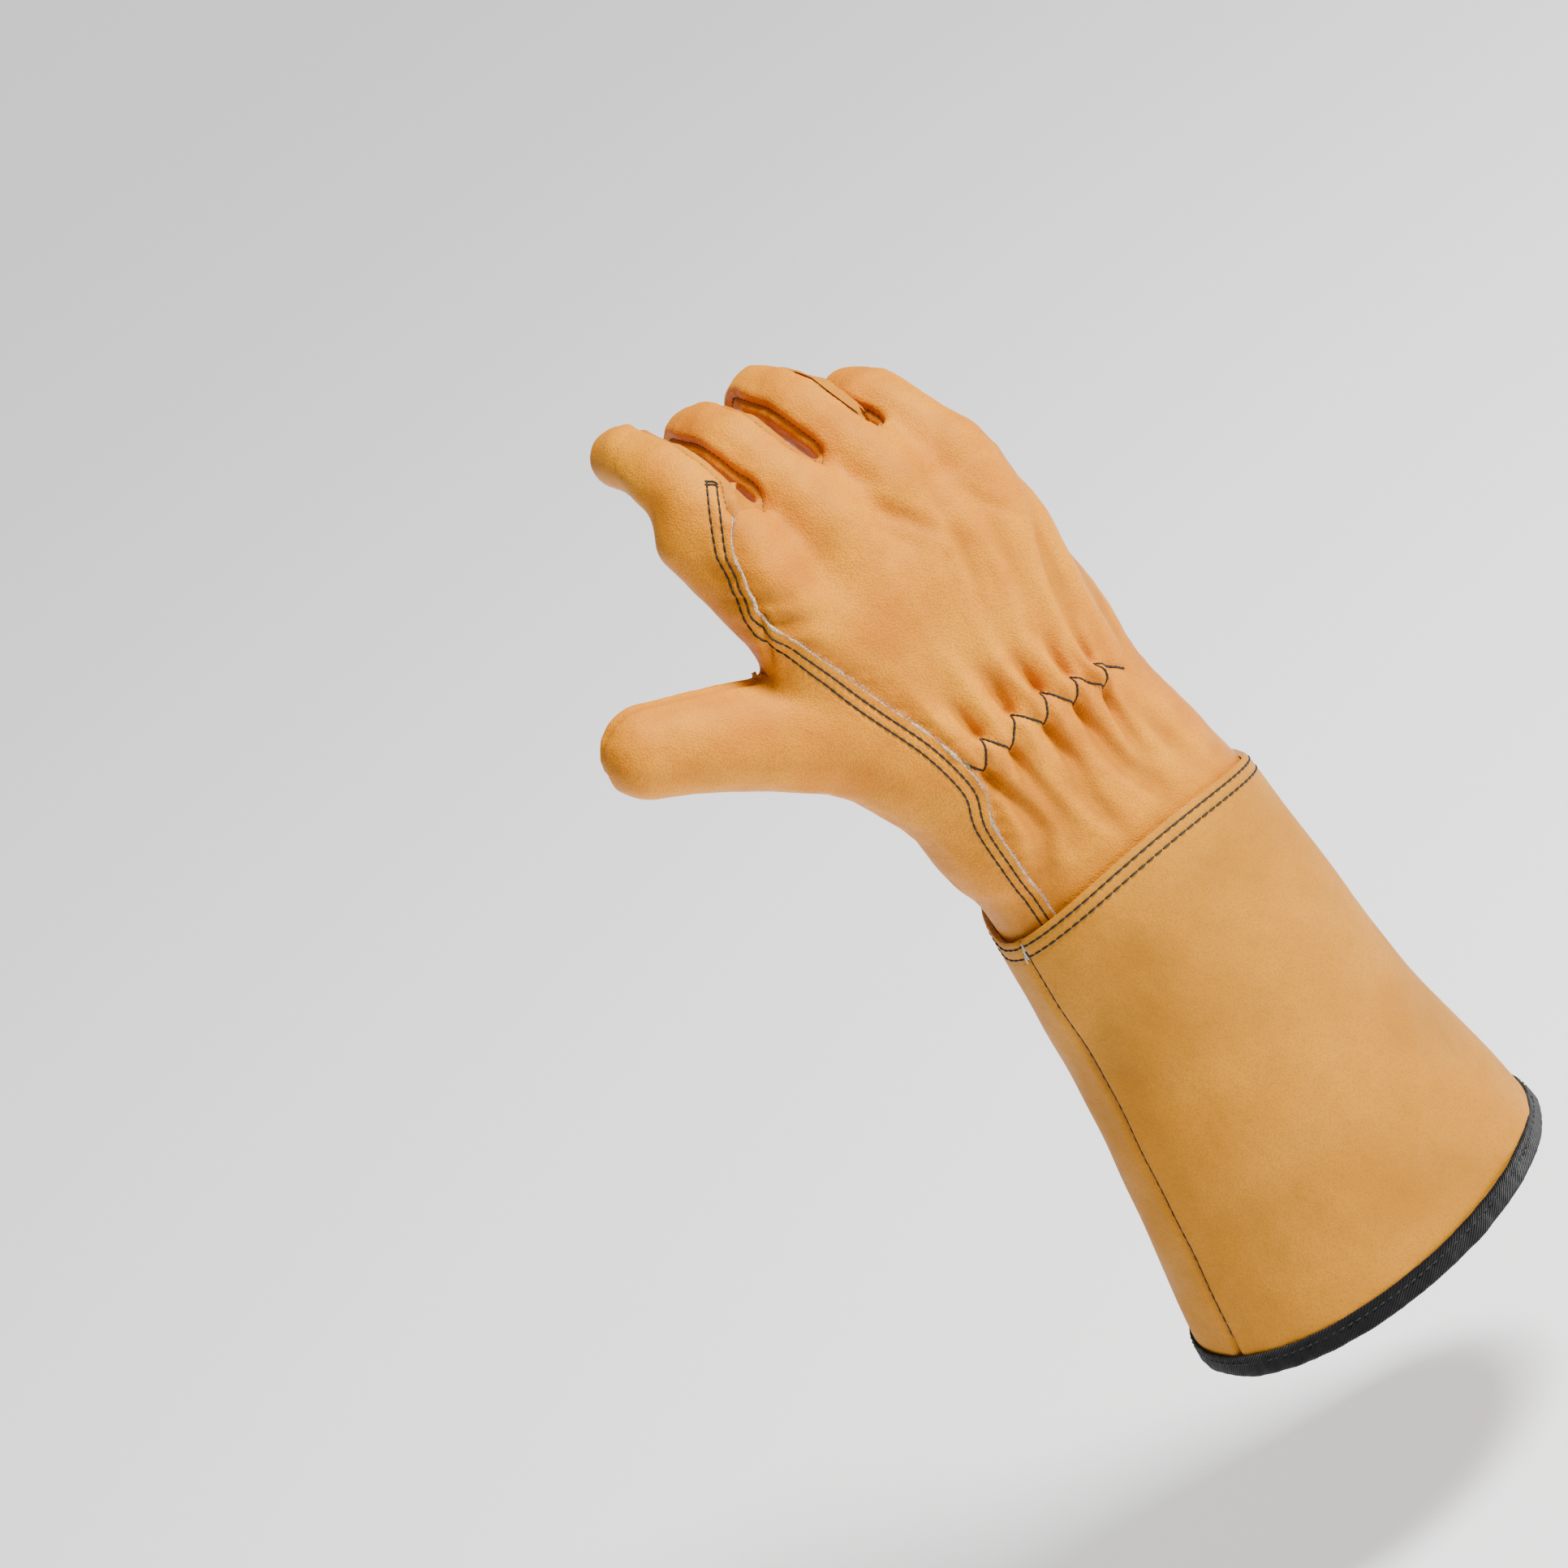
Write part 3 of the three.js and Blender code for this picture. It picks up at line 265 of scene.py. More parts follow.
def read_line(line, s):
    """Point and directions of a bone line at a distance s along it."""
    place = np.clip(s, 0, line.shape[1] - 1.001)
    index = np.floor(place).astype(int)
    share = (place - index)[:, None]
    return line[:, index] * (1 - share) + line[:, index + 1] * share


def step(s, middle, spread):
    """A bend centred on middle that turns over twice the spread."""
    return smooth((s - middle) / (2 * spread) + 0.5)


for finger in FINGERS:
    finger["radius"] = 0.5 * FINGER_THICKNESS * finger["thick"]
    finger["length"] = FINGER_LENGTH * finger["long"]
    finger["knuckle"] = HAND_LENGTH * finger["up"]
    finger["tip"] = finger["length"] - TIP_TAPER * finger["radius"]
    finger["line"] = bone_line(
        (HAND_WIDTH * finger["across"], 0, finger["knuckle"]), finger["tip"],
        lambda s, row=finger: row["lean"] * smooth(s / (0.2 * row["length"])),
        lambda s, row=finger: row["bends"][0] * step(s, 0.06 * row["length"], 0.14 * row["length"])
        + row["bends"][1] * step(s, MIDDLE_JOINT * row["length"], 0.1 * row["length"])
        + row["bends"][2] * step(s, END_JOINT * row["length"], 0.08 * row["length"]))

THUMB_TIP = THUMB_BASE_LENGTH + THUMB_LENGTH - 0.46 * THUMB_THICKNESS
THUMB_JOINT_AT = THUMB_BASE_LENGTH + THUMB["joint"] * THUMB_LENGTH
THUMB_START = np.array([HAND_WIDTH * THUMB["across"], HAND_DEPTH * THUMB["deep"], 0])
THUMB_LINE = bone_line(
    THUMB_START, THUMB_TIP,
    lambda s: THUMB["leans"][0] * smooth(s / (0.3 * THUMB_BASE_LENGTH))
    + THUMB["leans"][1] * step(s, THUMB_BASE_LENGTH, 0.25 * THUMB_BASE_LENGTH)
    + THUMB["leans"][2] * step(s, THUMB_JOINT_AT, 0.2 * THUMB_LENGTH),
    lambda s: THUMB["flex"] * smooth(s / THUMB_BASE_LENGTH))

# The thumb's rays tilt over more slowly than its bone does, so that their rows stay in order
# on the inside of its bend
THUMB_TILT = bone_line(
    THUMB_START, THUMB_TIP,
    lambda s: THUMB["leans"][0] * smooth(s / (1.15 * THUMB_BASE_LENGTH))
    + THUMB["leans"][1] * step(s, THUMB_BASE_LENGTH, 0.4 * THUMB_BASE_LENGTH)
    + THUMB["leans"][2] * step(s, THUMB_JOINT_AT, 0.3 * THUMB_LENGTH),
    lambda s: THUMB["flex"] * smooth(s / THUMB_BASE_LENGTH))


def upright(across, deep, s):
    """A frame below the knuckles: it stands up the forearm, its back to the hand's back."""
    flat = np.zeros((4, len(s), 3))
    flat[0] = np.stack([across, deep + 0 * s, s], 1)
    flat[1, :, 2] = 1
    flat[2, :, 1] = -1
    flat[3, :, 0] = 1
    return flat


def finger_frame(finger, s):
    """Point and directions of a finger's bone, carried on down the hand below its knuckle."""
    centre = read_rows(SECTIONS, "shift", s)
    share = read_rows(SECTIONS, "width", s) / HAND_WIDTH
    settled = smooth(s / finger["knuckle"])
    bone = (finger["across"] + 0.03) * mix(share * 1.05, 1, settled)
    below = upright(mix(bone * HAND_WIDTH + centre, finger["across"] * HAND_WIDTH, settled), 0, s)
    past_knuckle = (s >= finger["knuckle"])[None, :, None]
    return np.where(past_knuckle, read_line(finger["line"], s - finger["knuckle"]), below)


def hand_frame(place, s):
    """The same between bones: frames of the two nearest bones mixed by place, 0 to 3."""
    frames = np.stack([finger_frame(finger, s) for finger in FINGERS])
    inner = np.clip(np.floor(place), 0, 2).astype(int)
    here = np.arange(len(s))
    low = frames[inner, :, here].transpose(1, 0, 2)
    high = frames[inner + 1, :, here].transpose(1, 0, 2)
    mixed = mix(low, high, (place - inner)[None, :, None])
    mixed[1:] = unit(mixed[1:])
    return mixed


def thumb_frame(s):
    """The thumb's bone, carried straight down the forearm below the wrist."""
    centre = read_rows(SECTIONS, "shift", s) - read_rows(SECTIONS, "shift", 0 * s)
    below = upright(THUMB_START[0] + centre, THUMB_START[1], s)
    return np.where((s >= 0)[None, :, None], read_line(THUMB_LINE, s), below)


def tilted_frame(s):
    """The thumb's bone with the slower tilt of its rays."""
    here = thumb_frame(s)
    tilted = np.concatenate([here[:1], read_line(THUMB_TILT, s)[1:]])
    return np.where((s >= 0)[None, :, None], tilted, here)


def crotch_at(f):
    """Height of the fork between fingers f and f + 1."""
    return 0.5 * (FINGERS[f]["knuckle"] + FINGERS[f + 1]["knuckle"]) + CROTCH_RISE


FORKS = [hand_frame(np.array([f + 0.5]), np.array([crotch_at(f)]))[:, 0] for f in range(3)]
SET_BACK = 8
THUMB_CROTCH_UP = 0.78 * HAND_LENGTH


def out_of(bone, turn):
    """The direction out of a bone at a turn from its back towards its side."""
    angle = np.radians(turn)[:, None]
    return bone[2] * np.cos(angle) + bone[3] * np.sin(angle)


def hand_ray(around, s):
    """A ray from inside the hand through its skin. Places run from -1 at the thumb edge over
    bones 0 to 3 on the back, 4 at the outer edge, 5 to 8 under the bones, to 9 at the thumb."""
    place = np.where(around > 9, around - 10, around)
    bone = np.select(
        [place < 0, (place > 3) & (place < 5), (place >= 5) & (place <= 8), place > 8],
        [0 * place, 3 + 0 * place, 8 - place, 0 * place], place)
    turn = np.select(
        [place < 0, (place > 3) & (place < 5), (place >= 5) & (place <= 8), place > 8],
        [place * 90, (place - 3) * 90, 180 + 0 * place, 180 + (place - 8) * 90], 0 * place)
    beside = np.maximum(0, 1 - np.abs(np.where(place > 4, place - 9, place + 1)))
    web = smooth(beside) * smooth((s - 0.35 * HAND_LENGTH) / (0.35 * HAND_LENGTH)) \
        * (1 - smooth((s - THUMB_CROTCH_UP) / (0.4 * HAND_LENGTH)))
    drawn_back = SET_BACK * smooth((s - 0.75 * HAND_LENGTH) / 20) + 4 * SET_BACK * web
    here = hand_frame(bone, s)
    radius = 0.5 * FINGER_THICKNESS * (1 + 0.5 * web)
    return hand_frame(bone, s - drawn_back)[0], here[0] + out_of(here, turn) * radius[:, None]


def tube_ray(frame_at, root, tip, radius, turn, s):
    """A ray round a finger or thumb; past its last joint it tilts over to close the tip."""
    over = np.maximum(0, s - tip) / radius
    here = frame_at(np.minimum(s, tip))
    drawn_back = SET_BACK * smooth((s - root) / 20) * (1 - smooth(over))
    inner = frame_at(np.minimum(s - drawn_back, tip))
    tilted = unit(out_of(here, turn)) * np.cos(over)[:, None] + here[1] * np.sin(over)[:, None]
    return inner[0], here[0] + tilted * radius


def finger_ray(f, turn, s):
    """A ray round finger f: turn 0 over its back, 90 on its little-finger side."""
    finger = FINGERS[f]
    return tube_ray(lambda place: finger_frame(finger, place), finger["knuckle"],
                    finger["knuckle"] + finger["tip"], TIP_TAPER * finger["radius"], turn, s)


def thumb_ray(turn, s):
    """The same round the thumb."""
    return tube_ray(tilted_frame, 0.5 * THUMB_BASE_LENGTH, THUMB_TIP, THUMB_TIP_RADIUS, turn, s)


def mix_rays(low, high, share):
    """A ray a share of the way between two others."""
    share = np.asarray(share)[..., None]
    return mix(low[0], high[0], share), mix(low[1], high[1], share)


# How wide a round fills the valleys at the palm's top and beside thumb and fingers, and how far
# off a finger's neighbours are moved for its own leather, over what height
TOP_ROUND = 22
THUMB_ROUND = 14
FINGER_ROUND = 7
NEIGHBOUR_AWAY = 20
NEIGHBOUR_FADE = 10
SLACK_RADIUS = 0.31 * HAND_DEPTH


def join_soft(a, b, width):
    """The nearer of two surfaces, with the valley between them filled to a round of width."""
    h = np.maximum(width - np.abs(a - b), 0) / width
    return np.minimum(a, b) - h * h * width * 0.25


def chain_of(points, radii):
    """A chain of tapered limbs: its joints' points, edges, squared lengths and radii."""
    edges = points[1:] - points[:-1]
    return points[:-1], edges, (edges ** 2).sum(1), radii[:-1], radii[1:]


def chain_distance(chain, p):
    """Distance from points to the nearest limb of a chain, less the limb's radius there."""
    start, edges, squares, low, high = chain
    along = p @ edges.T - (start * edges).sum(1)
    share = np.clip(along / squares, 0, 1)
    apart = p[:, None, :] - start - edges * share[..., None]
    return (lengths(apart) - mix(low, high, share)).min(1)


FINGER_CHAINS = []
for finger in FINGERS:
    s = np.linspace(-28, finger["tip"], 12)
    middle = finger["length"] * MIDDLE_JOINT
    radii = finger["radius"] * mix(1.3, 1, smooth((s + 4) / (0.3 * finger["length"]))) \
        * mix(1, TIP_TAPER, smooth((s - middle) / (finger["tip"] - middle)))
    FINGER_CHAINS.append(chain_of(finger_frame(finger, s + finger["knuckle"])[0], radii))

s = np.linspace(-6, THUMB_TIP, 11)
THUMB_CHAIN = chain_of(thumb_frame(s)[0], 0.5 * THUMB_THICKNESS * mix(
    mix(1.4, 1.1, smooth(s / THUMB_BASE_LENGTH)),
    0.88, smooth((s - THUMB_BASE_LENGTH) / (THUMB_TIP - THUMB_BASE_LENGTH))))
SLACK_CHAIN = chain_of(
    np.array([[-0.45 * HAND_WIDTH, 0.2 * HAND_DEPTH, HAND_LENGTH],
              [-0.48 * HAND_WIDTH, 0.4 * HAND_DEPTH, 1.22 * HAND_LENGTH]]),
    np.array([SLACK_RADIUS, SLACK_RADIUS]))


def palm_distance(p):
    """Distance to the palm, wrist and cuff: a rounded rectangle at each height, closed at the
    top. Its outline is where the powers of the shares of half width and half depth add to 1."""
    top = 0.93 * HAND_LENGTH
    place = np.minimum(p[:, 2], top)
    half_width = 0.5 * read_rows(SECTIONS, "width", place)
    half_depth = 0.5 * read_rows(SECTIONS, "depth", place)
    square = read_rows(SECTIONS, "square", place)
    x = np.abs(p[:, 0] - read_rows(SECTIONS, "shift", place)) / half_width + 1e-9
    y = np.abs(p[:, 1]) / half_depth + 1e-9
    ratio = (x ** square + y ** square) ** (1 / square)
    slope = np.hypot(
        (x / ratio) ** (square - 1) / half_width, (y / ratio) ** (square - 1) / half_depth)
    return -join_soft(-(ratio - 1) / slope, -(p[:, 2] - top), TOP_ROUND)


def glove_distance(p, own):
    """Distance to the glove's skin. A finger's own leather doesn't feel its neighbours, which
    fade away over a few millimetres above the fork."""
    distance = join_soft(palm_distance(p), chain_distance(THUMB_CHAIN, p), THUMB_ROUND)
    distance = join_soft(distance, chain_distance(SLACK_CHAIN, p), THUMB_ROUND)
    for f, chain in enumerate(FINGER_CHAINS):
        away = 0
        if own >= 0 and f != own:
            fork = FORKS[own if f > own else own - 1]
            away = NEIGHBOUR_AWAY * smooth(((p - fork[0]) @ fork[1]) / NEIGHBOUR_FADE)
        distance = join_soft(distance, chain_distance(chain, p) + away, FINGER_ROUND)
    return distance


# The walk out to the skin: most steps, the share of the gap that each takes, and how near is near
# enough; and the small step that finds a slope
MOST_STEPS = 40
STEP_SHARE = 0.95
NEAR_ENOUGH = 0.002
SLOPE_STEP = 0.3


def skin_points(ray, own, level=0.0):
    """Walks out along each ray by the distance left until it stands on the skin."""
    start, aim = ray
    direction = unit(aim - start)
    travel = np.zeros(len(start))
    level = level + np.zeros(len(start))
    active = np.arange(len(start))
    for _ in range(MOST_STEPS):
        reached = start[active] + direction[active] * travel[active, None]
        gap = glove_distance(reached, own) - level[active]
        travel[active] -= STEP_SHARE * gap
        active = active[np.abs(gap) > NEAR_ENOUGH]
        if len(active) == 0:
            break
    return start + direction * travel[:, None]


def skin_normals(points, own):
    """Slope of the distance by small steps along the three axes."""
    here = glove_distance(points, own)
    slopes = [glove_distance(points + SLOPE_STEP * axis, own) - here for axis in np.eye(3)]
    return unit(np.stack(slopes, 1))


# Where the panels' seams run, from the same places as the solid parts: how far round a finger
# they lie, where their rays leave the hand for the finger, and where the thumb's corners sit
STRIP_TURN = 50
SEAM_CLOSE = 14
OPENING_RISE = 12
LEAVE_EARLY = 14
WRAP_LEAVES_EARLY = 8
PALM_SEAM_PLACE = 7.28
FORK_SIDE_TURN = 80
THUMB_SEAM_LOW = 188
THUMB_SEAM_HIGH = 238
LAP_CORNER_UP = 0.94 * HAND_LENGTH
THUMB_CORNER = THUMB_BASE_LENGTH + 0.07 * THUMB_LENGTH
THUMB_CROTCH = THUMB_BASE_LENGTH + 0.23 * THUMB_LENGTH
CORNER_ROW = THUMB_CORNER / THUMB_CROTCH


def tip_at(f):
    """Height of finger f's last joint, where its tip rounds over."""
    return FINGERS[f]["knuckle"] + FINGERS[f]["tip"]


def tip_end(f):
    """Height at which finger f's tip has closed."""
    return tip_at(f) + TIP_TAPER * FINGERS[f]["radius"] * TIP_CLOSED


def seam_end(f):
    """Height at which finger f's two side seams meet."""
    return tip_at(f) + 3


def seam_turn(f, s):
    """How far round from the finger's back its seam runs."""
    return mix(STRIP_TURN, 90, smooth((s - seam_end(f) + SEAM_CLOSE) / SEAM_CLOSE))


def lap_place(s):
    """Place of the lap seam at a height."""
    return read_rows(LAP_PATH, "place", s / HAND_LENGTH)


def palm_up(v, crotch):
    """Heights of the rows: -1 to 0 below the wrist, to 1 at the thumb's crotch, 2 at the fork."""
    above_thumb = mix(THUMB_CROTCH_UP, crotch, v - 1)
    return np.select([v < 0, v <= 1], [-v * HEM, v * THUMB_CROTCH_UP], above_thumb)


def finger_up(f, v, crotch):
    """Heights along a finger: 0 to 1 beside its seams, 1 to 2 over the tip."""
    return np.where(v <= 1, mix(crotch, seam_end(f), v), mix(seam_end(f), tip_end(f), v - 1))


def fork_beside(f, across):
    """Height of the fork at a place across finger f."""
    if f == 0:
        return crotch_at(0) + 0 * across
    if f == 3:
        return crotch_at(2) + 0 * across
    return mix(crotch_at(f - 1), crotch_at(f), 0.5 * (across + 1))


def back_ray(f, across, s):
    """Ray of the back panel over bone f: across runs -1 to 1 between the bone's neighbours."""
    outer = (f == 3) & (across > 0)
    crotch = fork_beside(f, across)
    loose = smooth((s - crotch + LEAVE_EARLY * (1 - across ** 2)) / OPENING_RISE)
    wide = np.where(outer, 90, seam_turn(f, s))
    hand = hand_ray(f + across * np.where(outer, 1, 0.5), np.minimum(s, crotch + OPENING_RISE))
    return mix_rays(hand, finger_ray(f, across * wide, s), loose)


def waves(points, length, seed):
    """Even, seamless unevenness: seven sine waves of about one length in chance directions."""
    chance = np.random.default_rng(seed)
    total = np.zeros(len(points))
    for _ in range(7):
        direction = unit(chance.normal(size=3))
        scale = chance.uniform(0.7, 1.5) / length
        total += np.sin(2 * math.pi * scale * (points @ direction) + chance.uniform(0, 2 * math.pi))
    return total / 2.6


# Soft creases of the hand leather: place across, front (-1) or palm (1), up, turn in degrees,
# then how long and wide as shares of the hand, and how deep in millimetres
CREASES = [
    (0.05, 1, 0.55, 35, 0.35, 0.05, 1.5),
    (0.2, 1, 0.86, -75, 0.3, 0.05, 1.3),
    (-0.12, 1, 0.98, -80, 0.16, 0.035, 0.9),
    (-0.52, -0.2, 1.02, -50, 0.12, 0.03, 1.3),
    (-0.5, -0.2, 0.93, -58, 0.12, 0.026, 1.2),
    (-0.53, -0.2, 1.12, -40, 0.12, 0.026, 0.9),
    (0.33, -1, 0.5, 12, 0.22, 0.035, 1.2),
    (0.17, -1, 0.7, 8, 0.28, 0.03, -0.9),
    (0.1, -1, 0.74, 14, 0.2, 0.02, 0.5),
    (0.02, -1, 0.95, -32, 0.16, 0.022, 0.6),
    (0.43, -1, 0.36, 8, 0.2, 0.035, 1.4),
    (0.25, -1, 0.36, 18, 0.13, 0.026, 0.8),
    (0.38, -1, 0.66, 24, 0.14, 0.022, 0.6),
    (0.12, -1, 0.4, 24, 0.1, 0.022, 0.6),
    (-0.05, -1, 0.33, -10, 0.09, 0.024, 0.6),
    (0.28, -1, 0.8, -30, 0.1, 0.018, 0.4),
    (-0.22, -1, -0.1, 14, 0.2, 0.03, 1.1),
    (-0.02, -1, -0.14, -12, 0.16, 0.028, 0.9),
    (0.16, -1, -0.16, -20, 0.16, 0.03, 0.9),
    (0.32, -1, -0.12, -16, 0.16, 0.03, 0.9),
]

# The elastic's zigzag over the wrist: across and up as shares of the wrist's width
ELASTIC_PATH = np.array([
    (-0.35, 0.3), (-0.27, 0.176), (-0.216, 0.28), (-0.15, 0.185), (-0.074, 0.276), (0.002, 0.179),
    (0.057, 0.272), (0.133, 0.164), (0.176, 0.247), (0.253, 0.14), (0.274, 0.226), (0.383, 0.125),
]) * WRIST_WIDTH
CREASE_STRENGTH = 1.3
GATHER_DEPTH = 4.2
GATHER_PUFF = 2.9


def crease_height(p):
    """Height of the creases and gathers: each crease is a bell along and across its line, dug
    in, less a lower bell on either side of it where the leather is pushed up."""
    height = np.zeros(len(p))
    for across, face, up, turn, long, wide, deep in CREASES:
        dx = p[:, 0] - across * HAND_WIDTH
        dz = p[:, 2] - up * HAND_LENGTH
        angle = math.radians(turn)
        down = (dz * math.cos(angle) + dx * math.sin(angle)) / (long * HAND_LENGTH)
        over = (dx * math.cos(angle) - dz * math.sin(angle)) / (wide * HAND_WIDTH)
        facing = smooth(0.5 + face * p[:, 1] / 8)
        lips = np.exp(-((np.abs(over) - 1.9) / 0.9) ** 2)
        ditch = np.exp(-down ** 2) * (np.exp(-over ** 2) - 0.45 * lips)
        height -= CREASE_STRENGTH * facing * deep * ditch
    return height + gather_height(p)


def gather_height(p):
    """Height of the elastic's gathers: from each corner of the zigzag a narrow ditch runs on
    the way the corner points and widens as it dies out, and across the thread from it the
    leather puffs up; the thread itself lies in a tight groove."""
    height = np.zeros(len(p))
    for index, (x, z) in enumerate(ELASTIC_PATH[1:-1]):
        points_up = 1 if index % 2 else -1
        reach = 13 if points_up > 0 else 24
        lean = 0.16 * points_up * (x - 5) / 30 + 0.1 * math.sin(2.4 * index)
        along = points_up * (p[:, 2] - z)
        over = p[:, 0] - x - lean * along
        beyond = np.maximum(along, 0)
        width = 1.7 + 0.07 * beyond
        ditch = smooth((along + 3) / 4) * np.exp(-(beyond / reach) ** 2) * np.exp(-(over / width) ** 2)
        before = np.maximum(-along + 2, 0) / (0.45 * reach)
        puff = before * np.exp(1 - before) * np.exp(-(over / 3.4) ** 2)
        height += GATHER_PUFF * puff - GATHER_DEPTH * ditch
    x = np.arange(ELASTIC_PATH[0, 0], ELASTIC_PATH[-1, 0], 0.25)
    thread = np.column_stack([x, 0 * x, np.interp(x, ELASTIC_PATH[:, 0], ELASTIC_PATH[:, 1])])
    near = np.abs(p[:, 2] - 0.21 * WRIST_WIDTH) < 20
    groove = np.zeros(len(p))
    groove[near] = np.exp(-(distance_to(p[near] * np.array([1, 0, 1]), thread) / 1.3) ** 2)
    on_back = smooth((-p[:, 1] - 3) / 8) * smooth((p[:, 0] - ELASTIC_PATH[0, 0] + 3) / 8)
    fine = 0.4 * waves(p * np.array([1, 0, 0.22]), 5, 47)
    fine = fine * np.exp(-((p[:, 2] - 0.2 * WRIST_WIDTH) / 17) ** 2)
    return on_back * (height + fine - 1.0 * groove)


def distance_to(points, line):
    """Distance from each point to the nearest point of a finely stepped line."""
    nearest = np.full(len(points), 1e9)
    for part in range(0, len(line), 200):
        rows = line[part:part + 200]
        squares = (points ** 2).sum(1)[:, None] + (rows ** 2).sum(1) - 2 * points @ rows.T
        nearest = np.minimum(nearest, squares.min(1))
    return np.sqrt(np.maximum(nearest, 0))


def seam_line(ray_at, low, high, own, count=160):
    """A seam as points: the skin under a ray that runs from one height to another."""
    s = np.linspace(low, high, count)
    return skin_points(ray_at(s), own)


def palm_place(place, s):
    """Places under the palm, drawn in to 0.82 of their spread below the wrist."""
    return 4 + (place - 4) * mix(0.82, 1, smooth((s + 20) / 90))


def towards_crotch(share):
    """A share that stays low and then turns quickly out to the thumb's crotch."""
    return smooth(np.clip(share, 0, 1) ** 2)


def palm_ray(f, across, s):
    """Ray of the palm panel under bone f, across as for the back."""
    outer = (f == 3) & (across > 0)
    low = crotch_at(0) if f == 0 else crotch_at(f - 1)
    high = crotch_at(2) if f == 3 else crotch_at(f)
    crotch = mix(low, high, 0.5 * (across + 1))
    loose = smooth((s - crotch + LEAVE_EARLY * (1 - across ** 2)) / OPENING_RISE)
    level = np.minimum(s, crotch + OPENING_RISE)
    hand = hand_ray(palm_place(8 - f - across * np.where(outer, 1, 0.5), level), level)
    turn = np.where(outer, 180 - 90 * across, 180 - across * seam_turn(f, s))
    return mix_rays(hand, finger_ray(f, turn, s), loose)


def index_front_ray(u, s):
    """The palm panel under the index finger, from its inner seam (0) round to its free side (1)."""
    thumb_split = mix(PALM_SEAM_PLACE, 9, towards_crotch(s / THUMB_CROTCH_UP))
    hand = hand_ray(mix(palm_place(7.5, s), thumb_split, u), s)
    loose = smooth((s - crotch_at(0) + LEAVE_EARLY * u) / OPENING_RISE)
    return mix_rays(hand, finger_ray(0, mix(180 - seam_turn(0, s), 270, u), s), loose)


def index_wrap_ray(u, s):
    """The palm panel's wing over the index finger's back, from the free side (0) to the lap (1)."""
    hand = hand_ray(mix(9, 10 + lap_place(s), u), s)
    loose = smooth((s - crotch_at(0) + WRAP_LEAVES_EARLY * (1 - u)) / OPENING_RISE)
    return mix_rays(hand, finger_ray(0, mix(270, 360 + seam_turn(0, s), u), s), loose)


def wrap_foot(u):
    """Height of the short seam between the thumb's crotch and the lap's corner."""
    return mix(THUMB_CROTCH_UP, LAP_CORNER_UP, u)


def outer_turn(s):
    """How far round the thumb its outer seam runs."""
    return mix(THUMB_SEAM_LOW, THUMB_SEAM_HIGH, smooth((s + 10) / (1.25 * THUMB_BASE_LENGTH)))


def thumb_loose(s):
    """Whether the thumb's rays have left the hand."""
    return smooth((s - THUMB_CROTCH) / 10)


def thumb_front_ray(u, s):
    """The palm panel over the ball and front of the thumb, from the palm (0) to its outer seam."""
    split = np.where(s < 0, s, np.minimum(1, s / THUMB_CROTCH) * THUMB_CROTCH_UP)
    hand = hand_ray(mix(PALM_SEAM_PLACE, 9, towards_crotch(split / THUMB_CROTCH_UP)), split)
    inner = mix_rays(hand, thumb_ray(FORK_SIDE_TURN + 0 * s, s), thumb_loose(s))
    turn = mix(mix(165, FORK_SIDE_TURN, towards_crotch(s / THUMB_CROTCH)), outer_turn(s), u)
    return mix_rays(inner, thumb_ray(turn, s), np.maximum(smooth(u / 0.6), thumb_loose(s)))


def thumb_seam_ray(s):
    """The thumb panel's inner edge: up the lap, then along the short seam into the crotch."""
    u = np.clip((THUMB_CROTCH - s) / (THUMB_CROTCH - THUMB_CORNER), 0, 1)
    up = np.where(s < 0, s, (s / THUMB_CORNER) * LAP_CORNER_UP)
    lap = hand_ray(lap_place(up), up)
    return mix_rays(lap, index_wrap_ray(u, wrap_foot(u)), 1.0 * (s >= THUMB_CORNER))


def thumb_back_ray(u, s):
    """The thumb panel from the lap seam (0) round to the thumb's outer seam (1)."""
    inner = mix_rays(thumb_seam_ray(s), thumb_ray(FORK_SIDE_TURN + 0 * s, s), thumb_loose(s))
    turn = mix(mix(-20, FORK_SIDE_TURN, smooth(s / THUMB_CROTCH)), outer_turn(s) - 360, u)
    return mix_rays(inner, thumb_ray(turn, s), np.maximum(smooth(u / 0.4), thumb_loose(s)))


THUMB_END = THUMB_TIP + THUMB_TIP_RADIUS * TIP_CLOSED
LAP_LINE = seam_line(lambda s: hand_ray(lap_place(s), s), HEM, crotch_at(0), -1, 360)


def panel_edge(ray_at, f, side, start=0, stop=0):
    """A panel's edge up one side of finger f: from start above the fork there, to stop below
    the finger's end."""
    fork = crotch_at(f - 1 if side < 0 else f)
    return seam_line(lambda s: ray_at(f, side + 0 * s, s), fork + start, seam_end(f) - stop, f)


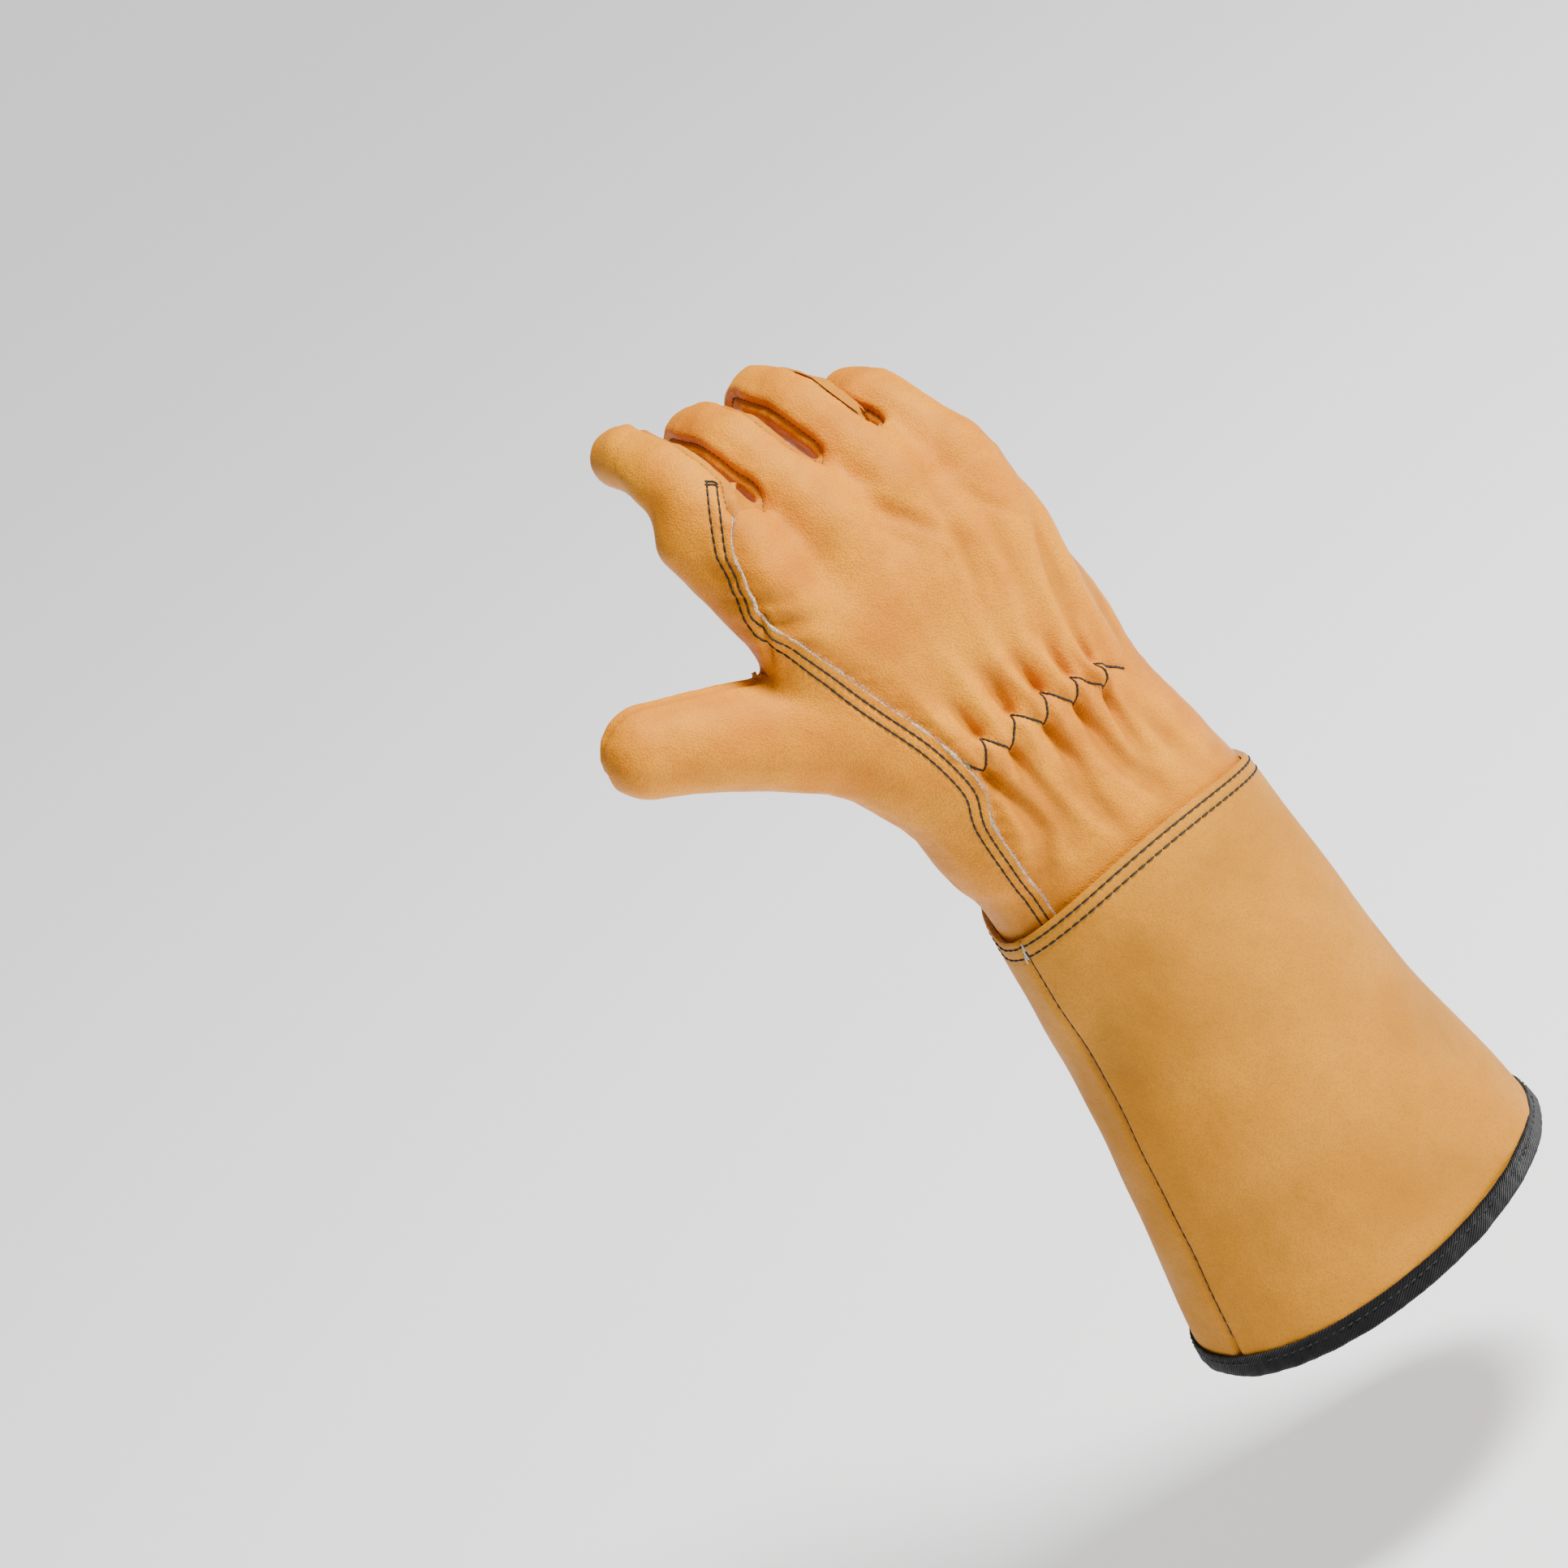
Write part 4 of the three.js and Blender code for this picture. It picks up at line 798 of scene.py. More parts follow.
TURNED_SEAMS = np.concatenate(
    [seam_line(lambda s: back_ray(3, 1 + 0 * s, s), HEM, seam_end(3) + 6, 3, 400)]
    + [panel_edge(back_ray, f, -1) for f in (1, 2, 3)]
    + [panel_edge(back_ray, f, 1) for f in (1, 2)]
    + [panel_edge(palm_ray, f, -1) for f in (1, 2, 3)]
    + [panel_edge(palm_ray, f, 1) for f in (1, 2)]
    + [seam_line(lambda s: index_wrap_ray(1 + 0 * s, s), crotch_at(0), seam_end(0), 0),
       seam_line(lambda s: index_front_ray(0 * s, s), crotch_at(0), seam_end(0), 0),
       seam_line(lambda s: index_wrap_ray((s - THUMB_CROTCH_UP) / (LAP_CORNER_UP - THUMB_CROTCH_UP), s),
                 THUMB_CROTCH_UP, LAP_CORNER_UP, 0, 60),
       seam_line(lambda s: thumb_back_ray(1 + 0 * s, s), HEM, THUMB_END, -1, 300),
       seam_line(lambda s: thumb_back_ray(0 * s, s), THUMB_CROTCH, THUMB_END, -1)])

THUMB_FORK = skin_points(thumb_seam_ray(np.array([THUMB_CROTCH])), -1)[0]
ROW_OFFSETS = (2.6, 6.0)
LAP_RISE = 0.9
UNDER_LAP = 0.95
SEAM_DITCH = 1.25
SEAM_LIP = 0.38
ROW_GROOVE = 0.32


def on_skin(points, own, level=0.0):
    """Drops points onto the skin along its slope."""
    for _ in range(5):
        gap = glove_distance(points, own) - level
        points = points - skin_normals(points, own) * gap[:, None]
    return points


def relaxed(skin, own, rounds):
    """Evens a patch out: its inner points move to the middle of their four neighbours and are
    dropped back onto the skin, over and over."""
    for _ in range(rounds):
        middle = 0.25 * (skin[:-2, 1:-1] + skin[2:, 1:-1] + skin[1:-1, :-2] + skin[1:-1, 2:])
        flat = middle.reshape(-1, 3)
        flat = flat - skin_normals(flat, own) * glove_distance(flat, own)[:, None]
        skin = skin.copy()
        skin[1:-1, 1:-1] = flat.reshape(middle.shape)
    return skin


def beside_line(line, own, offset):
    """The line moved sideways over the skin, to the right of its run when offset is positive."""
    run = unit(np.gradient(line, axis=0))
    side = np.cross(run, skin_normals(line, own))
    return on_skin(line + side * offset, own)


# The lap's two sewn rows run on past the fork, up the index finger's side
PAST_FORK = seam_line(
    lambda s: index_wrap_ray(1 + 0 * s, s), crotch_at(0) + 4, crotch_at(0) + 9, 0, 14)
LAP_SEWN = np.concatenate([LAP_LINE[:-6], PAST_FORK])
for _ in range(30):
    LAP_SEWN[1:-1] = 0.25 * LAP_SEWN[:-2] + 0.5 * LAP_SEWN[1:-1] + 0.25 * LAP_SEWN[2:]
LAP_ROWS = [beside_line(LAP_SEWN, -1, -offset) for offset in ROW_OFFSETS]
STITCHED = np.concatenate(LAP_ROWS)


def leather_height(points, upper):
    """How far the leather stands off the bare form: creases, gathers, softness, a ditch along
    each turned seam with a puffed lip, and at the lap one leather lifted over the other."""
    lap = distance_to(points, LAP_LINE)
    turned = distance_to(points, TURNED_SEAMS)
    height = crease_height(points)
    height += 0.28 * waves(points, 26, 3) + 0.09 * waves(points, 9, 4)
    clear = smooth((lengths(points - THUMB_FORK) - 2) / 7)
    lip = SEAM_LIP * np.exp(-((turned - 3.4) / 2.0) ** 2)
    height += clear * (lip - SEAM_DITCH * np.exp(-(turned / 1.5) ** 1.6))
    pucker = waves(points, 4.2, 8) + 0.7 * waves(points, 7.5, 9)
    height += 0.1 * pucker * np.exp(-(turned / 5) ** 2)
    if upper:
        height += LAP_RISE * (1 - smooth(lap / 11)) + 0.09 * pucker * np.exp(-(lap / 8) ** 2)
        height -= ROW_GROOVE * np.exp(-(distance_to(points, STITCHED) / 0.95) ** 2)
    else:
        height -= UNDER_LAP * (1 - smooth(lap / 9)) - 0.12 * pucker * np.exp(-(lap / 9) ** 2)
    tuck = smooth((-0.5 * CUFF_TOP_DROP - points[:, 2]) / TUCK_IN)
    return height * (1 - 0.6 * tuck) - 0.7 * tuck


# Points of neighbouring patches this near each other, in metres, are sewn into one
SEWN_WITHIN = 4e-6
SHARP_EDGE = math.radians(48)


def leather_grid(rows, columns, skin_at, own, upper, turned):
    """A patch of leather: a grid of points on the skin, moved out along its slope by the
    height. Gives the points in metres, their heights, and whether its faces run the other way."""
    v, u = np.meshgrid(rows, columns, indexing="ij")
    v = v.ravel()
    u = u.ravel()
    skin = skin_at(v, u)
    height = leather_height(skin, upper)
    points = skin + skin_normals(skin, own) * height[:, None]
    shape = (len(rows), len(columns))
    return points.reshape(shape + (3,)) * METRES, height.reshape(shape), turned


def sewn_piece(name, patches, wall, replaced, skin_material, edge_material):
    """One mesh from patches that meet on shared edges, given its leather's thickness inwards."""
    points = []
    heights = []
    faces = []
    base = 0
    for grid, height, turned in patches:
        count, across = grid.shape[:2]
        index = base + np.arange(count * across).reshape(count, across)
        quads = np.stack([index[:-1, :-1], index[:-1, 1:], index[1:, 1:], index[1:, :-1]], -1)
        quads = quads.reshape(-1, 4)
        faces.append(quads[:, ::-1] if turned else quads)
        points.append(grid.reshape(-1, 3))
        heights.append(height.ravel())
        base += count * across
    mesh = bpy.data.meshes.new(name)
    mesh.from_pydata(np.concatenate(points).tolist(), [], np.concatenate(faces).tolist())
    # The leather's heights over the bare form, which the material reads to paint shade into its
    # creases, seam ditches and hollows
    hollow = mesh.attributes.new("hollow", "FLOAT", "POINT")
    hollow.data.foreach_set("value", np.concatenate(heights))
    form = bmesh.new()
    form.from_mesh(mesh)
    bmesh.ops.remove_doubles(form, verts=form.verts, dist=SEWN_WITHIN)
    form.to_mesh(mesh)
    form.free()
    piece = bpy.data.objects.new(name, mesh)
    bpy.context.scene.collection.objects.link(piece)
    mesh.materials.append(skin_material)
    mesh.materials.append(edge_material)
    thickness = piece.modifiers.new("leather_thickness", "SOLIDIFY")
    thickness.thickness = wall * METRES
    thickness.offset = -1
    thickness.use_even_offset = False
    thickness.material_offset_rim = 1
    view = piece.evaluated_get(bpy.context.evaluated_depsgraph_get())
    cut = bpy.data.meshes.new_from_object(view)
    piece.modifiers.clear()
    piece.data = cut
    cut.name = name
    cut.shade_smooth()
    cut.set_sharp_from_angle(angle=SHARP_EDGE)
    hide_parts(replaced)
    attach(piece, "root")
    return piece


def new_material(name):
    """A bare material, with its nodes, links and shader at hand."""
    material = bpy.data.materials.new(name)
    material.use_nodes = True
    nodes = material.node_tree.nodes
    return material, nodes, material.node_tree.links, nodes["Principled BSDF"]


def feed(links, value, socket):
    """Sets a constant on a socket, or joins another node's output to it."""
    if isinstance(value, (int, float, tuple)):
        socket.default_value = value
    else:
        links.new(value, socket)


def noise(nodes, links, scale, detail=2.0, rough=0.5):
    """Soft noise at each point of the glove, about scale lumps to the metre."""
    node = nodes.new("ShaderNodeTexNoise")
    node.inputs["Scale"].default_value = scale
    node.inputs["Detail"].default_value = detail
    node.inputs["Roughness"].default_value = rough
    links.new(nodes.new("ShaderNodeTexCoord").outputs["Object"], node.inputs["Vector"])
    return node.outputs["Fac"]


def sloped(nodes, links, source, low, high, to_low, to_high):
    """A value that eases from to_low to to_high as its source runs from low to high."""
    node = nodes.new("ShaderNodeMapRange")
    node.interpolation_type = "SMOOTHSTEP"
    node.inputs["From Min"].default_value = low
    node.inputs["From Max"].default_value = high
    node.inputs["To Min"].default_value = to_low
    node.inputs["To Max"].default_value = to_high
    links.new(source, node.inputs["Value"])
    return node.outputs["Result"]


def reckon(nodes, links, kind, first, second):
    """The sum or product of two values."""
    node = nodes.new("ShaderNodeMath")
    node.operation = kind
    feed(links, first, node.inputs[0])
    feed(links, second, node.inputs[1])
    return node.outputs["Value"]


def tint(nodes, links, share, first, second):
    """A share of the way from the first colour to the second."""
    node = nodes.new("ShaderNodeMix")
    node.data_type = "RGBA"
    links.new(share, node.inputs["Factor"])
    feed(links, first, node.inputs["A"])
    feed(links, second, node.inputs["B"])
    return node.outputs["Result"]


def two_tone(nodes, links, share, low, high, low_at=0.0, high_at=1.0):
    """A colour that runs evenly from low to high as its share goes from low_at to high_at."""
    ramp = nodes.new("ShaderNodeValToRGB")
    ends = ramp.color_ramp.elements
    ends[0].position = low_at
    ends[0].color = low
    ends[1].position = high_at
    ends[1].color = high
    links.new(share, ramp.inputs["Fac"])
    return ramp.outputs["Color"]


def raised(nodes, links, height, most, under=None):
    """The slope of a surface raised by its height times most, over the slope under it."""
    bump = nodes.new("ShaderNodeBump")
    bump.inputs["Strength"].default_value = 1.0
    bump.inputs["Distance"].default_value = most
    links.new(height, bump.inputs["Height"])
    if under is not None:
        links.new(under, bump.inputs["Normal"])
    return bump.outputs["Normal"]


def grain_leather(name, light, deep, grain_size, grain_depth, roughness):
    """Grain leather: two tans mottled by soft noise, with painted shade that darkens the colour
    where the leather's height dips into creases, seam ditches and under the lap, and with pebbled
    cells of about a millimetre, fine pores and small wrinkles raised by bump."""
    material, nodes, links, shader = new_material(name)
    mottle = sloped(nodes, links, noise(nodes, links, 26, 4, 0.6), 0.35, 0.68, 0, 1)
    worn = sloped(nodes, links, noise(nodes, links, 110, 3, 0.55), 0.4, 0.75, 0, 0.5)
    # Painted shade: the leather's height darkens the colour in creases, seam ditches and other hollows,
    # where shade would fall
    hollow = nodes.new("ShaderNodeAttribute")
    hollow.attribute_name = "hollow"
    painted_crease_shade = sloped(nodes, links, hollow.outputs["Fac"], -1.4, 0.2, 0.55, 0)
    cells = nodes.new("ShaderNodeTexVoronoi")
    cells.feature = "F1"
    cells.inputs["Scale"].default_value = 1.0 / grain_size
    cells.inputs["Randomness"].default_value = 1.0
    links.new(nodes.new("ShaderNodeTexCoord").outputs["Object"], cells.inputs["Vector"])
    pebble = sloped(nodes, links, cells.outputs["Distance"], 0.1, 0.75, 1, 0)
    pit = sloped(nodes, links, cells.outputs["Distance"], 0.4, 0.75, 0, 0.4)
    pores = noise(nodes, links, 2.6 / grain_size, 2, 0.5)
    darker = tuple(0.62 * value for value in deep[:3]) + (1.0,)
    rubbed = reckon(nodes, links, "MULTIPLY", worn, 0.35)
    colour = tint(nodes, links, mottle, light, deep)
    # Painted crease shade and random rubbed wear both pull the colour towards the darker tan
    colour = tint(nodes, links, reckon(nodes, links, "ADD", painted_crease_shade, rubbed), colour, darker)
    colour = tint(nodes, links, pit, colour, darker)
    links.new(colour, shader.inputs["Base Color"])
    dull = sloped(nodes, links, mottle, 0, 1, roughness - 0.04, roughness + 0.07)
    links.new(dull, shader.inputs["Roughness"])
    shader.inputs["Specular IOR Level"].default_value = 0.16
    grain = reckon(
        nodes, links, "ADD", reckon(nodes, links, "MULTIPLY", pebble, 0.75),
        reckon(nodes, links, "MULTIPLY", pores, 0.5))
    wrinkled = raised(nodes, links, noise(nodes, links, 230, 4, 0.6), 0.0004)
    links.new(raised(nodes, links, grain, grain_depth, wrinkled), shader.inputs["Normal"])
    return material


def raw_edge(name, pale, brown):
    """The cut edge of a leather: pale fibres with flecks of the dyed face."""
    material, nodes, links, shader = new_material(name)
    fleck = noise(nodes, links, 1500)
    links.new(two_tone(nodes, links, fleck, brown, pale, 0.38, 0.6), shader.inputs["Base Color"])
    shader.inputs["Roughness"].default_value = 0.9
    links.new(raised(nodes, links, fleck, 0.0004), shader.inputs["Normal"])
    return material


hand_leather = grain_leather(
    "golden_grain_leather", light=(0.88, 0.33, 0.002, 1), deep=(0.74, 0.23, 0.001, 1),
    grain_size=0.00064, grain_depth=0.00016, roughness=0.5)
pale_edge = raw_edge("raw_leather_edge", pale=(0.72, 0.62, 0.48, 1), brown=(0.5, 0.27, 0.08, 1))

BELOW_WRIST = np.linspace(-1, 0, 44)[:-1]
HAND_ROWS = np.concatenate([BELOW_WRIST, np.linspace(0, 1, 76)[:-1], np.linspace(1, 2, 42)])
TIP_ROWS = np.concatenate([np.linspace(0, 1, 70)[:-1], np.linspace(1, 2, 16)])
BONE_COLUMNS = np.linspace(-1, 1, 27)
OUTER_COLUMNS = np.linspace(-1, 1, 39)
UNDERLAP = 4.5 / (0.25 * HAND_WIDTH)


def finger_patches(ray_at, upper, turned):
    """A panel's patches over the middle, ring and little fingers: the hand, then the tip."""
    patches = []
    for f in (1, 2, 3):
        columns = OUTER_COLUMNS if f == 3 else BONE_COLUMNS
        patches.append(leather_grid(
            HAND_ROWS, columns,
            lambda v, u: skin_points(ray_at(f, u, palm_up(v, fork_beside(f, u))), f),
            f, upper, turned))
        patches.append(leather_grid(
            TIP_ROWS, columns,
            lambda v, u: skin_points(ray_at(f, u, finger_up(f, v, fork_beside(f, u))), f),
            f, upper, turned))
    return patches


def beside_lap_skin(v, u):
    """Skin of the back panel between the lap seam (0) and the middle finger's edge (1)."""
    up = palm_up(v, crotch_at(0))
    return skin_points(hand_ray(mix(lap_place(up), 0.5, u), up), -1)


def under_lap_skin(v, u):
    """Skin of the margin that runs on under the lap, from its cut edge (-1) to the seam (0)."""
    up = palm_up(v, crotch_at(0))
    return skin_points(hand_ray(lap_place(up) + u * UNDERLAP, up), -1)


back_patches = finger_patches(back_ray, upper=False, turned=False)
back_patches.append(leather_grid(
    HAND_ROWS, np.linspace(0, 1, 24), beside_lap_skin, -1, upper=False, turned=False))
back_patches.append(leather_grid(
    HAND_ROWS, np.linspace(-1, 0, 5), under_lap_skin, -1, upper=False, turned=False))
sewn_piece("back_leather", back_patches, HAND_LEATHER, "back_panel",
           hand_leather, pale_edge)

# The palm panel: the same leather under the hand and fingers, run up round the ball and front
# of the thumb, and folded over the index finger as a wing that laps onto the back panel.
THUMB_ROWS = np.concatenate([BELOW_WRIST, np.linspace(0, 1, 76)])
THUMB_TIP_ROWS = np.linspace(0, 1, 62)
SIDE_COLUMNS = np.linspace(0, 1, 36)
THUMB_FRONT_NEAR = 0.45
BASE_ROUNDS = 70
BASE_ROWS = 34
BASE_WIDTH = 0.7
INDEX_ROUNDS = 90
INDEX_ROWS = 42
THUMB_TIP_ROUNDS = 40
THUMB_TIP_EVENED = 20


def run_from_seam(ray_at, s, u, near):
    """Points of the thumb's skin: as far as near, they run straight from the seam to the first
    column of rays and are dropped onto the skin."""
    away = skin_points(ray_at(np.maximum(u, near), s), -1)
    seam = skin_points(ray_at(0 * u, s), -1)
    share = np.minimum(u / near, 1)
    between = seam + (away - seam) * share[:, None]
    return np.where(((share < 1) & (share > 0))[:, None], on_skin(between, -1), between)


def thumb_base_skin(ray_at, v, u, near):
    """Skin of the thumb below its fork, evened out where the fork crowds the rows."""
    skin = run_from_seam(ray_at, np.where(v < 0, -v * HEM, v * THUMB_CROTCH), u, near)
    skin = skin.reshape(len(THUMB_ROWS), -1, 3)
    fork = slice(-BASE_ROWS, None)
    near_side = slice(0, int(BASE_WIDTH * skin.shape[1]))
    skin[fork, near_side] = relaxed(skin[fork, near_side], -1, BASE_ROUNDS)
    return skin.reshape(-1, 3)


def index_front_skin(v, u):
    """Skin of the panel under the index finger, evened out above the thumb's fork, where the
    finger's bend crowds the rows."""
    skin = skin_points(index_front_ray(u, palm_up(v, crotch_at(0))), 0)
    skin = skin.reshape(len(HAND_ROWS), -1, 3)
    skin[-INDEX_ROWS:] = relaxed(skin[-INDEX_ROWS:], 0, INDEX_ROUNDS)
    return skin.reshape(-1, 3)


def thumb_tip_skin(ray_at, v, u, near):
    """Skin of the thumb above its fork: it starts on the last row below the fork, and its
    first rows are evened out."""
    skin = skin_points(ray_at(u, mix(THUMB_CROTCH, THUMB_END, v)), -1)
    skin = skin.reshape(len(THUMB_TIP_ROWS), -1, 3)
    across = u[:skin.shape[1]]
    skin[0] = run_from_seam(ray_at, THUMB_CROTCH + 0 * across, across, near)
    skin[:THUMB_TIP_EVENED] = relaxed(skin[:THUMB_TIP_EVENED], -1, THUMB_TIP_ROUNDS)
    return skin.reshape(-1, 3)


def index_patch(rows, skin_at):
    """A patch of the palm panel round the index finger, which laps over the back panel."""
    return leather_grid(rows, SIDE_COLUMNS, skin_at, 0, upper=True, turned=False)


def thumb_patch(rows, columns, skin_at, ray_at, near, turned):
    """A patch of a panel round the thumb."""
    return leather_grid(
        rows, columns, lambda v, u: skin_at(ray_at, v, u, near), -1, upper=True, turned=turned)


palm_patches = finger_patches(palm_ray, upper=True, turned=True)
palm_patches.append(index_patch(HAND_ROWS, index_front_skin))
palm_patches.append(index_patch(
    TIP_ROWS, lambda v, u: skin_points(index_front_ray(u, finger_up(0, v, crotch_at(0))), 0)))
palm_patches.append(index_patch(
    np.linspace(0, 1, 42),
    lambda v, u: skin_points(index_wrap_ray(u, mix(wrap_foot(u), crotch_at(0), v)), 0)))
palm_patches.append(index_patch(
    TIP_ROWS, lambda v, u: skin_points(index_wrap_ray(u, finger_up(0, v, crotch_at(0))), 0)))
for rows, skin_at in ((THUMB_ROWS, thumb_base_skin), (THUMB_TIP_ROWS, thumb_tip_skin)):
    palm_patches.append(thumb_patch(
        rows, SIDE_COLUMNS, skin_at, thumb_front_ray, THUMB_FRONT_NEAR, turned=False))
sewn_piece("palm_leather", palm_patches, HAND_LEATHER, "palm_panel",
           hand_leather, pale_edge)

# The thumb panel: the back of the thumb and its base, cut in one with the strip that laps
# over the back panel from the cuff up to the thumb's fork.
THUMB_COLUMNS = np.linspace(0, 1, 66)
THUMB_BACK_NEAR = 0.36

thumb_patches = [
    thumb_patch(rows, THUMB_COLUMNS, skin_at, thumb_back_ray, THUMB_BACK_NEAR, turned=True)
    for rows, skin_at in ((THUMB_ROWS, thumb_base_skin), (THUMB_TIP_ROWS, thumb_tip_skin))]
sewn_piece("thumb_leather", thumb_patches, HAND_LEATHER, "thumb_panel",
           hand_leather, pale_edge)

# The strips between the fingers: narrow lengths of the same leather, their colour darker than
# the hand leather's as painted shadow for the slits, sewn down one finger's side, through the fork and
# up the next.
# Painted shadow: these tans are darker than the hand leather's to stand in for the shade deep in the
# slits
strip_leather_painted_shadow = grain_leather(
    "strip_leather_painted_shadow", light=(0.76, 0.29, 0.007, 1), deep=(0.64, 0.21, 0.003, 1),
    grain_size=0.00062, grain_depth=0.00013, roughness=0.52)
STRIP_COLUMNS = np.linspace(-1, 1, 20)
STRIP_STEPS = 74
CORNER_STEPS = 14
ROWS_BUNCHED = 1.15
STRIP_ROUNDS = 40
STRIP_BELOW = 0.35
STRIP_SINK = 0.4


def strip_ray(f, own, v, shoulder, c):
    """Ray of the strip on finger own's side: from the palm seam (-1) to the back seam (1), its
    middle pushed out sideways, or up out of the fork where it crosses to the next finger."""
    side = 1 if own == f else -1
    foot = crotch_at(f)
    s = mix(foot, seam_end(own), v)
    out = v
    if own == 0:
        out = mix(shoulder / 11, 1, v)
        shoulder_ray = hand_ray(mix(0.5, lap_place(foot + 0 * s), shoulder), foot + 0 * s)
        back = mix_rays(shoulder_ray, index_wrap_ray(1 + 0 * s, s), 1.0 * (v > 0))
        palm = index_front_ray(0 * s, mix(foot, seam_end(own), out))
    else:
        back = back_ray(own, side + 0 * s, s)
        palm = palm_ray(own, side + 0 * s, s)
    bone = finger_frame(FINGERS[own], s)
    fork = hand_frame(f + 0.5 + 0 * s, foot + 0 * s)
    apart = smooth(out * (seam_end(own) - foot) / OPENING_RISE)[:, None]
    push = fork[1] * (1 - apart) + bone[3] * side * apart
    start, aim = mix_rays(palm, back, 0.5 * (c + 1))
    reach = FINGER_THICKNESS * 0.5 * (1 - c * c)[:, None]
    return start, aim + push * reach * mix(1, 0.3, apart)


def strip_grid(f):
    """The strip's rows: down finger f, round the corner beside the index, and up the next,
    closer together towards the fork. Its middle sinks in by a parabola."""
    down = np.linspace(1, 0, STRIP_STEPS) ** ROWS_BUNCHED
    corner = np.linspace(1, 0, CORNER_STEPS)[1:] if f == 0 else np.zeros(0)
    first = np.concatenate([down, 0 * corner])
    shoulder = np.concatenate([np.ones_like(down), corner])
    up = np.linspace(0, 1, STRIP_STEPS)[1:] ** ROWS_BUNCHED
    grids = []
    heights = []
    for own, rows, corners in ((f, first, shoulder), (f + 1, up, np.ones_like(up))):
        v, c = np.meshgrid(rows, STRIP_COLUMNS, indexing="ij")
        turning = np.repeat(corners, len(STRIP_COLUMNS))
        skin = skin_points(strip_ray(f, own, v.ravel(), turning, c.ravel()), own)
        skin = relaxed(skin.reshape(v.shape + (3,)), own, STRIP_ROUNDS).reshape(-1, 3)
        height = leather_height(skin, False) - STRIP_BELOW - STRIP_SINK * (1 - c.ravel() ** 2)
        points = skin + skin_normals(skin, own) * height[:, None]
        grids.append(points.reshape(v.shape + (3,)) * METRES)
        heights.append(height.reshape(v.shape))
    return np.concatenate(grids), np.concatenate(heights), False


for f, pair in enumerate(("index_middle", "middle_ring", "ring_little")):
    sewn_piece("strip_" + pair, [strip_grid(f)], HAND_LEATHER, "fourchette_" + pair,
               strip_leather_painted_shadow, pale_edge)

# The cuff: two flared sheets of lighter, smoother leather joined down both sides. The top edge
# laps over the hand leather and rises to the middle of the back.
CUFF_LEATHER = 1.8
SEAM_GAP = 0.3
TAPE = 0.9
CUFF_ARCH_BACK = 12
CUFF_ARCH_PALM = 17
THUMB_SIDE_SEAM = 163
OUTSIDE_SEAM = -5
MOUTH = -CUFF_TOP_DROP - CUFF_LENGTH
SEAM_STEPS = 260
SHEET_STEPS = 150
INSIDE_EDGE = 5
CUFF_SEAM_DITCH = 1.3
CUFF_SEAM_LIP = 0.3
CUFF_ROW_GROOVE = 0.35
CUFF_DENT = 1.6
CUFF_EDGE_ROUND = 0.7


def cuff_ray(turn, z):
    """A level ray out of the forearm; turn 90 is the middle of the back."""
    centre = read_rows(SECTIONS, "shift", z)
    x = 0.5 * read_rows(SECTIONS, "width", z) * np.cos(np.radians(turn))
    y = -0.5 * read_rows(SECTIONS, "depth", z) * np.sin(np.radians(turn))
    return np.stack([centre + 0.3 * x, 0.3 * y, z], 1), np.stack([centre + x, y, z], 1)


def cuff_top(turn):
    """Height of the cuff's top edge: arched over the back and over the palm."""
    rise = np.sin(np.radians(turn))
    return -CUFF_TOP_DROP + np.where(rise > 0, CUFF_ARCH_BACK, CUFF_ARCH_PALM) * np.abs(rise) ** 1.6


def mouth_at(turn):
    """Height of the mouth's edge, lower on the thumb side."""
    return MOUTH + 0.5 * MOUTH_SLANT * np.cos(np.radians(turn))


def cuff_points(turn, z):
    """Points on the cuff's outer face before its softness."""
    return skin_points(cuff_ray(turn, z), -1, SEAM_GAP + CUFF_LEATHER)


CUFF_SEAM_LINES = np.concatenate([
    cuff_points(seam + np.zeros(SEAM_STEPS), np.linspace(MOUTH, -CUFF_TOP_DROP + 3, SEAM_STEPS))
    for seam in (THUMB_SIDE_SEAM, OUTSIDE_SEAM)])
CUFF_ROW_DROPS = (2.6, 6.6)
ALL_ROUND = np.linspace(0, 360, 721)
CUFF_ROWS = [cuff_points(ALL_ROUND, cuff_top(ALL_ROUND) - drop) for drop in CUFF_ROW_DROPS]
CUFF_STITCHED = np.concatenate(CUFF_ROWS)


def cuff_height(points, edge):
    """Softness of the cuff: broad swells, a ditch down each seam and each row of stitches, a
    hollow under the rows by the thumb seam, and a rounded top edge."""
    seam = distance_to(points, CUFF_SEAM_LINES)
    height = 0.55 * waves(points, 70, 21) + 0.12 * waves(points, 24, 22)
    lip = CUFF_SEAM_LIP * np.exp(-((seam - 3.2) / 2.2) ** 2)
    height += -CUFF_SEAM_DITCH * np.exp(-(seam / 1.0) ** 1.7) + lip
    height -= CUFF_ROW_GROOVE * np.exp(-(distance_to(points, CUFF_STITCHED) / 1.0) ** 2)
    dent = np.exp(-((points[:, 2] + 64) / 12) ** 2 - ((points[:, 0] + 24) / 13) ** 2)
    height -= CUFF_DENT * dent * (points[:, 1] < 0)
    return height - CUFF_EDGE_ROUND * (1 - smooth(edge / 1.4))


def cuff_sheet(low, high):
    """One sheet: rows from the mouth to the top edge, columns from one seam to the other."""
    share, turn = np.meshgrid(
        np.linspace(0, 1, SHEET_STEPS), np.linspace(low, high, SHEET_STEPS), indexing="ij")
    share = share.ravel()
    turn = turn.ravel()
    bottom = mouth_at(turn) + TAPE + SEAM_GAP
    z = mix(bottom, cuff_top(turn), share)
    skin = cuff_points(turn, z)
    height = cuff_height(skin, cuff_top(turn) - z)
    points = skin + skin_normals(skin, -1) * height[:, None]
    shape = (SHEET_STEPS, SHEET_STEPS)
    return points.reshape(shape + (3,)) * METRES, height.reshape(shape), True


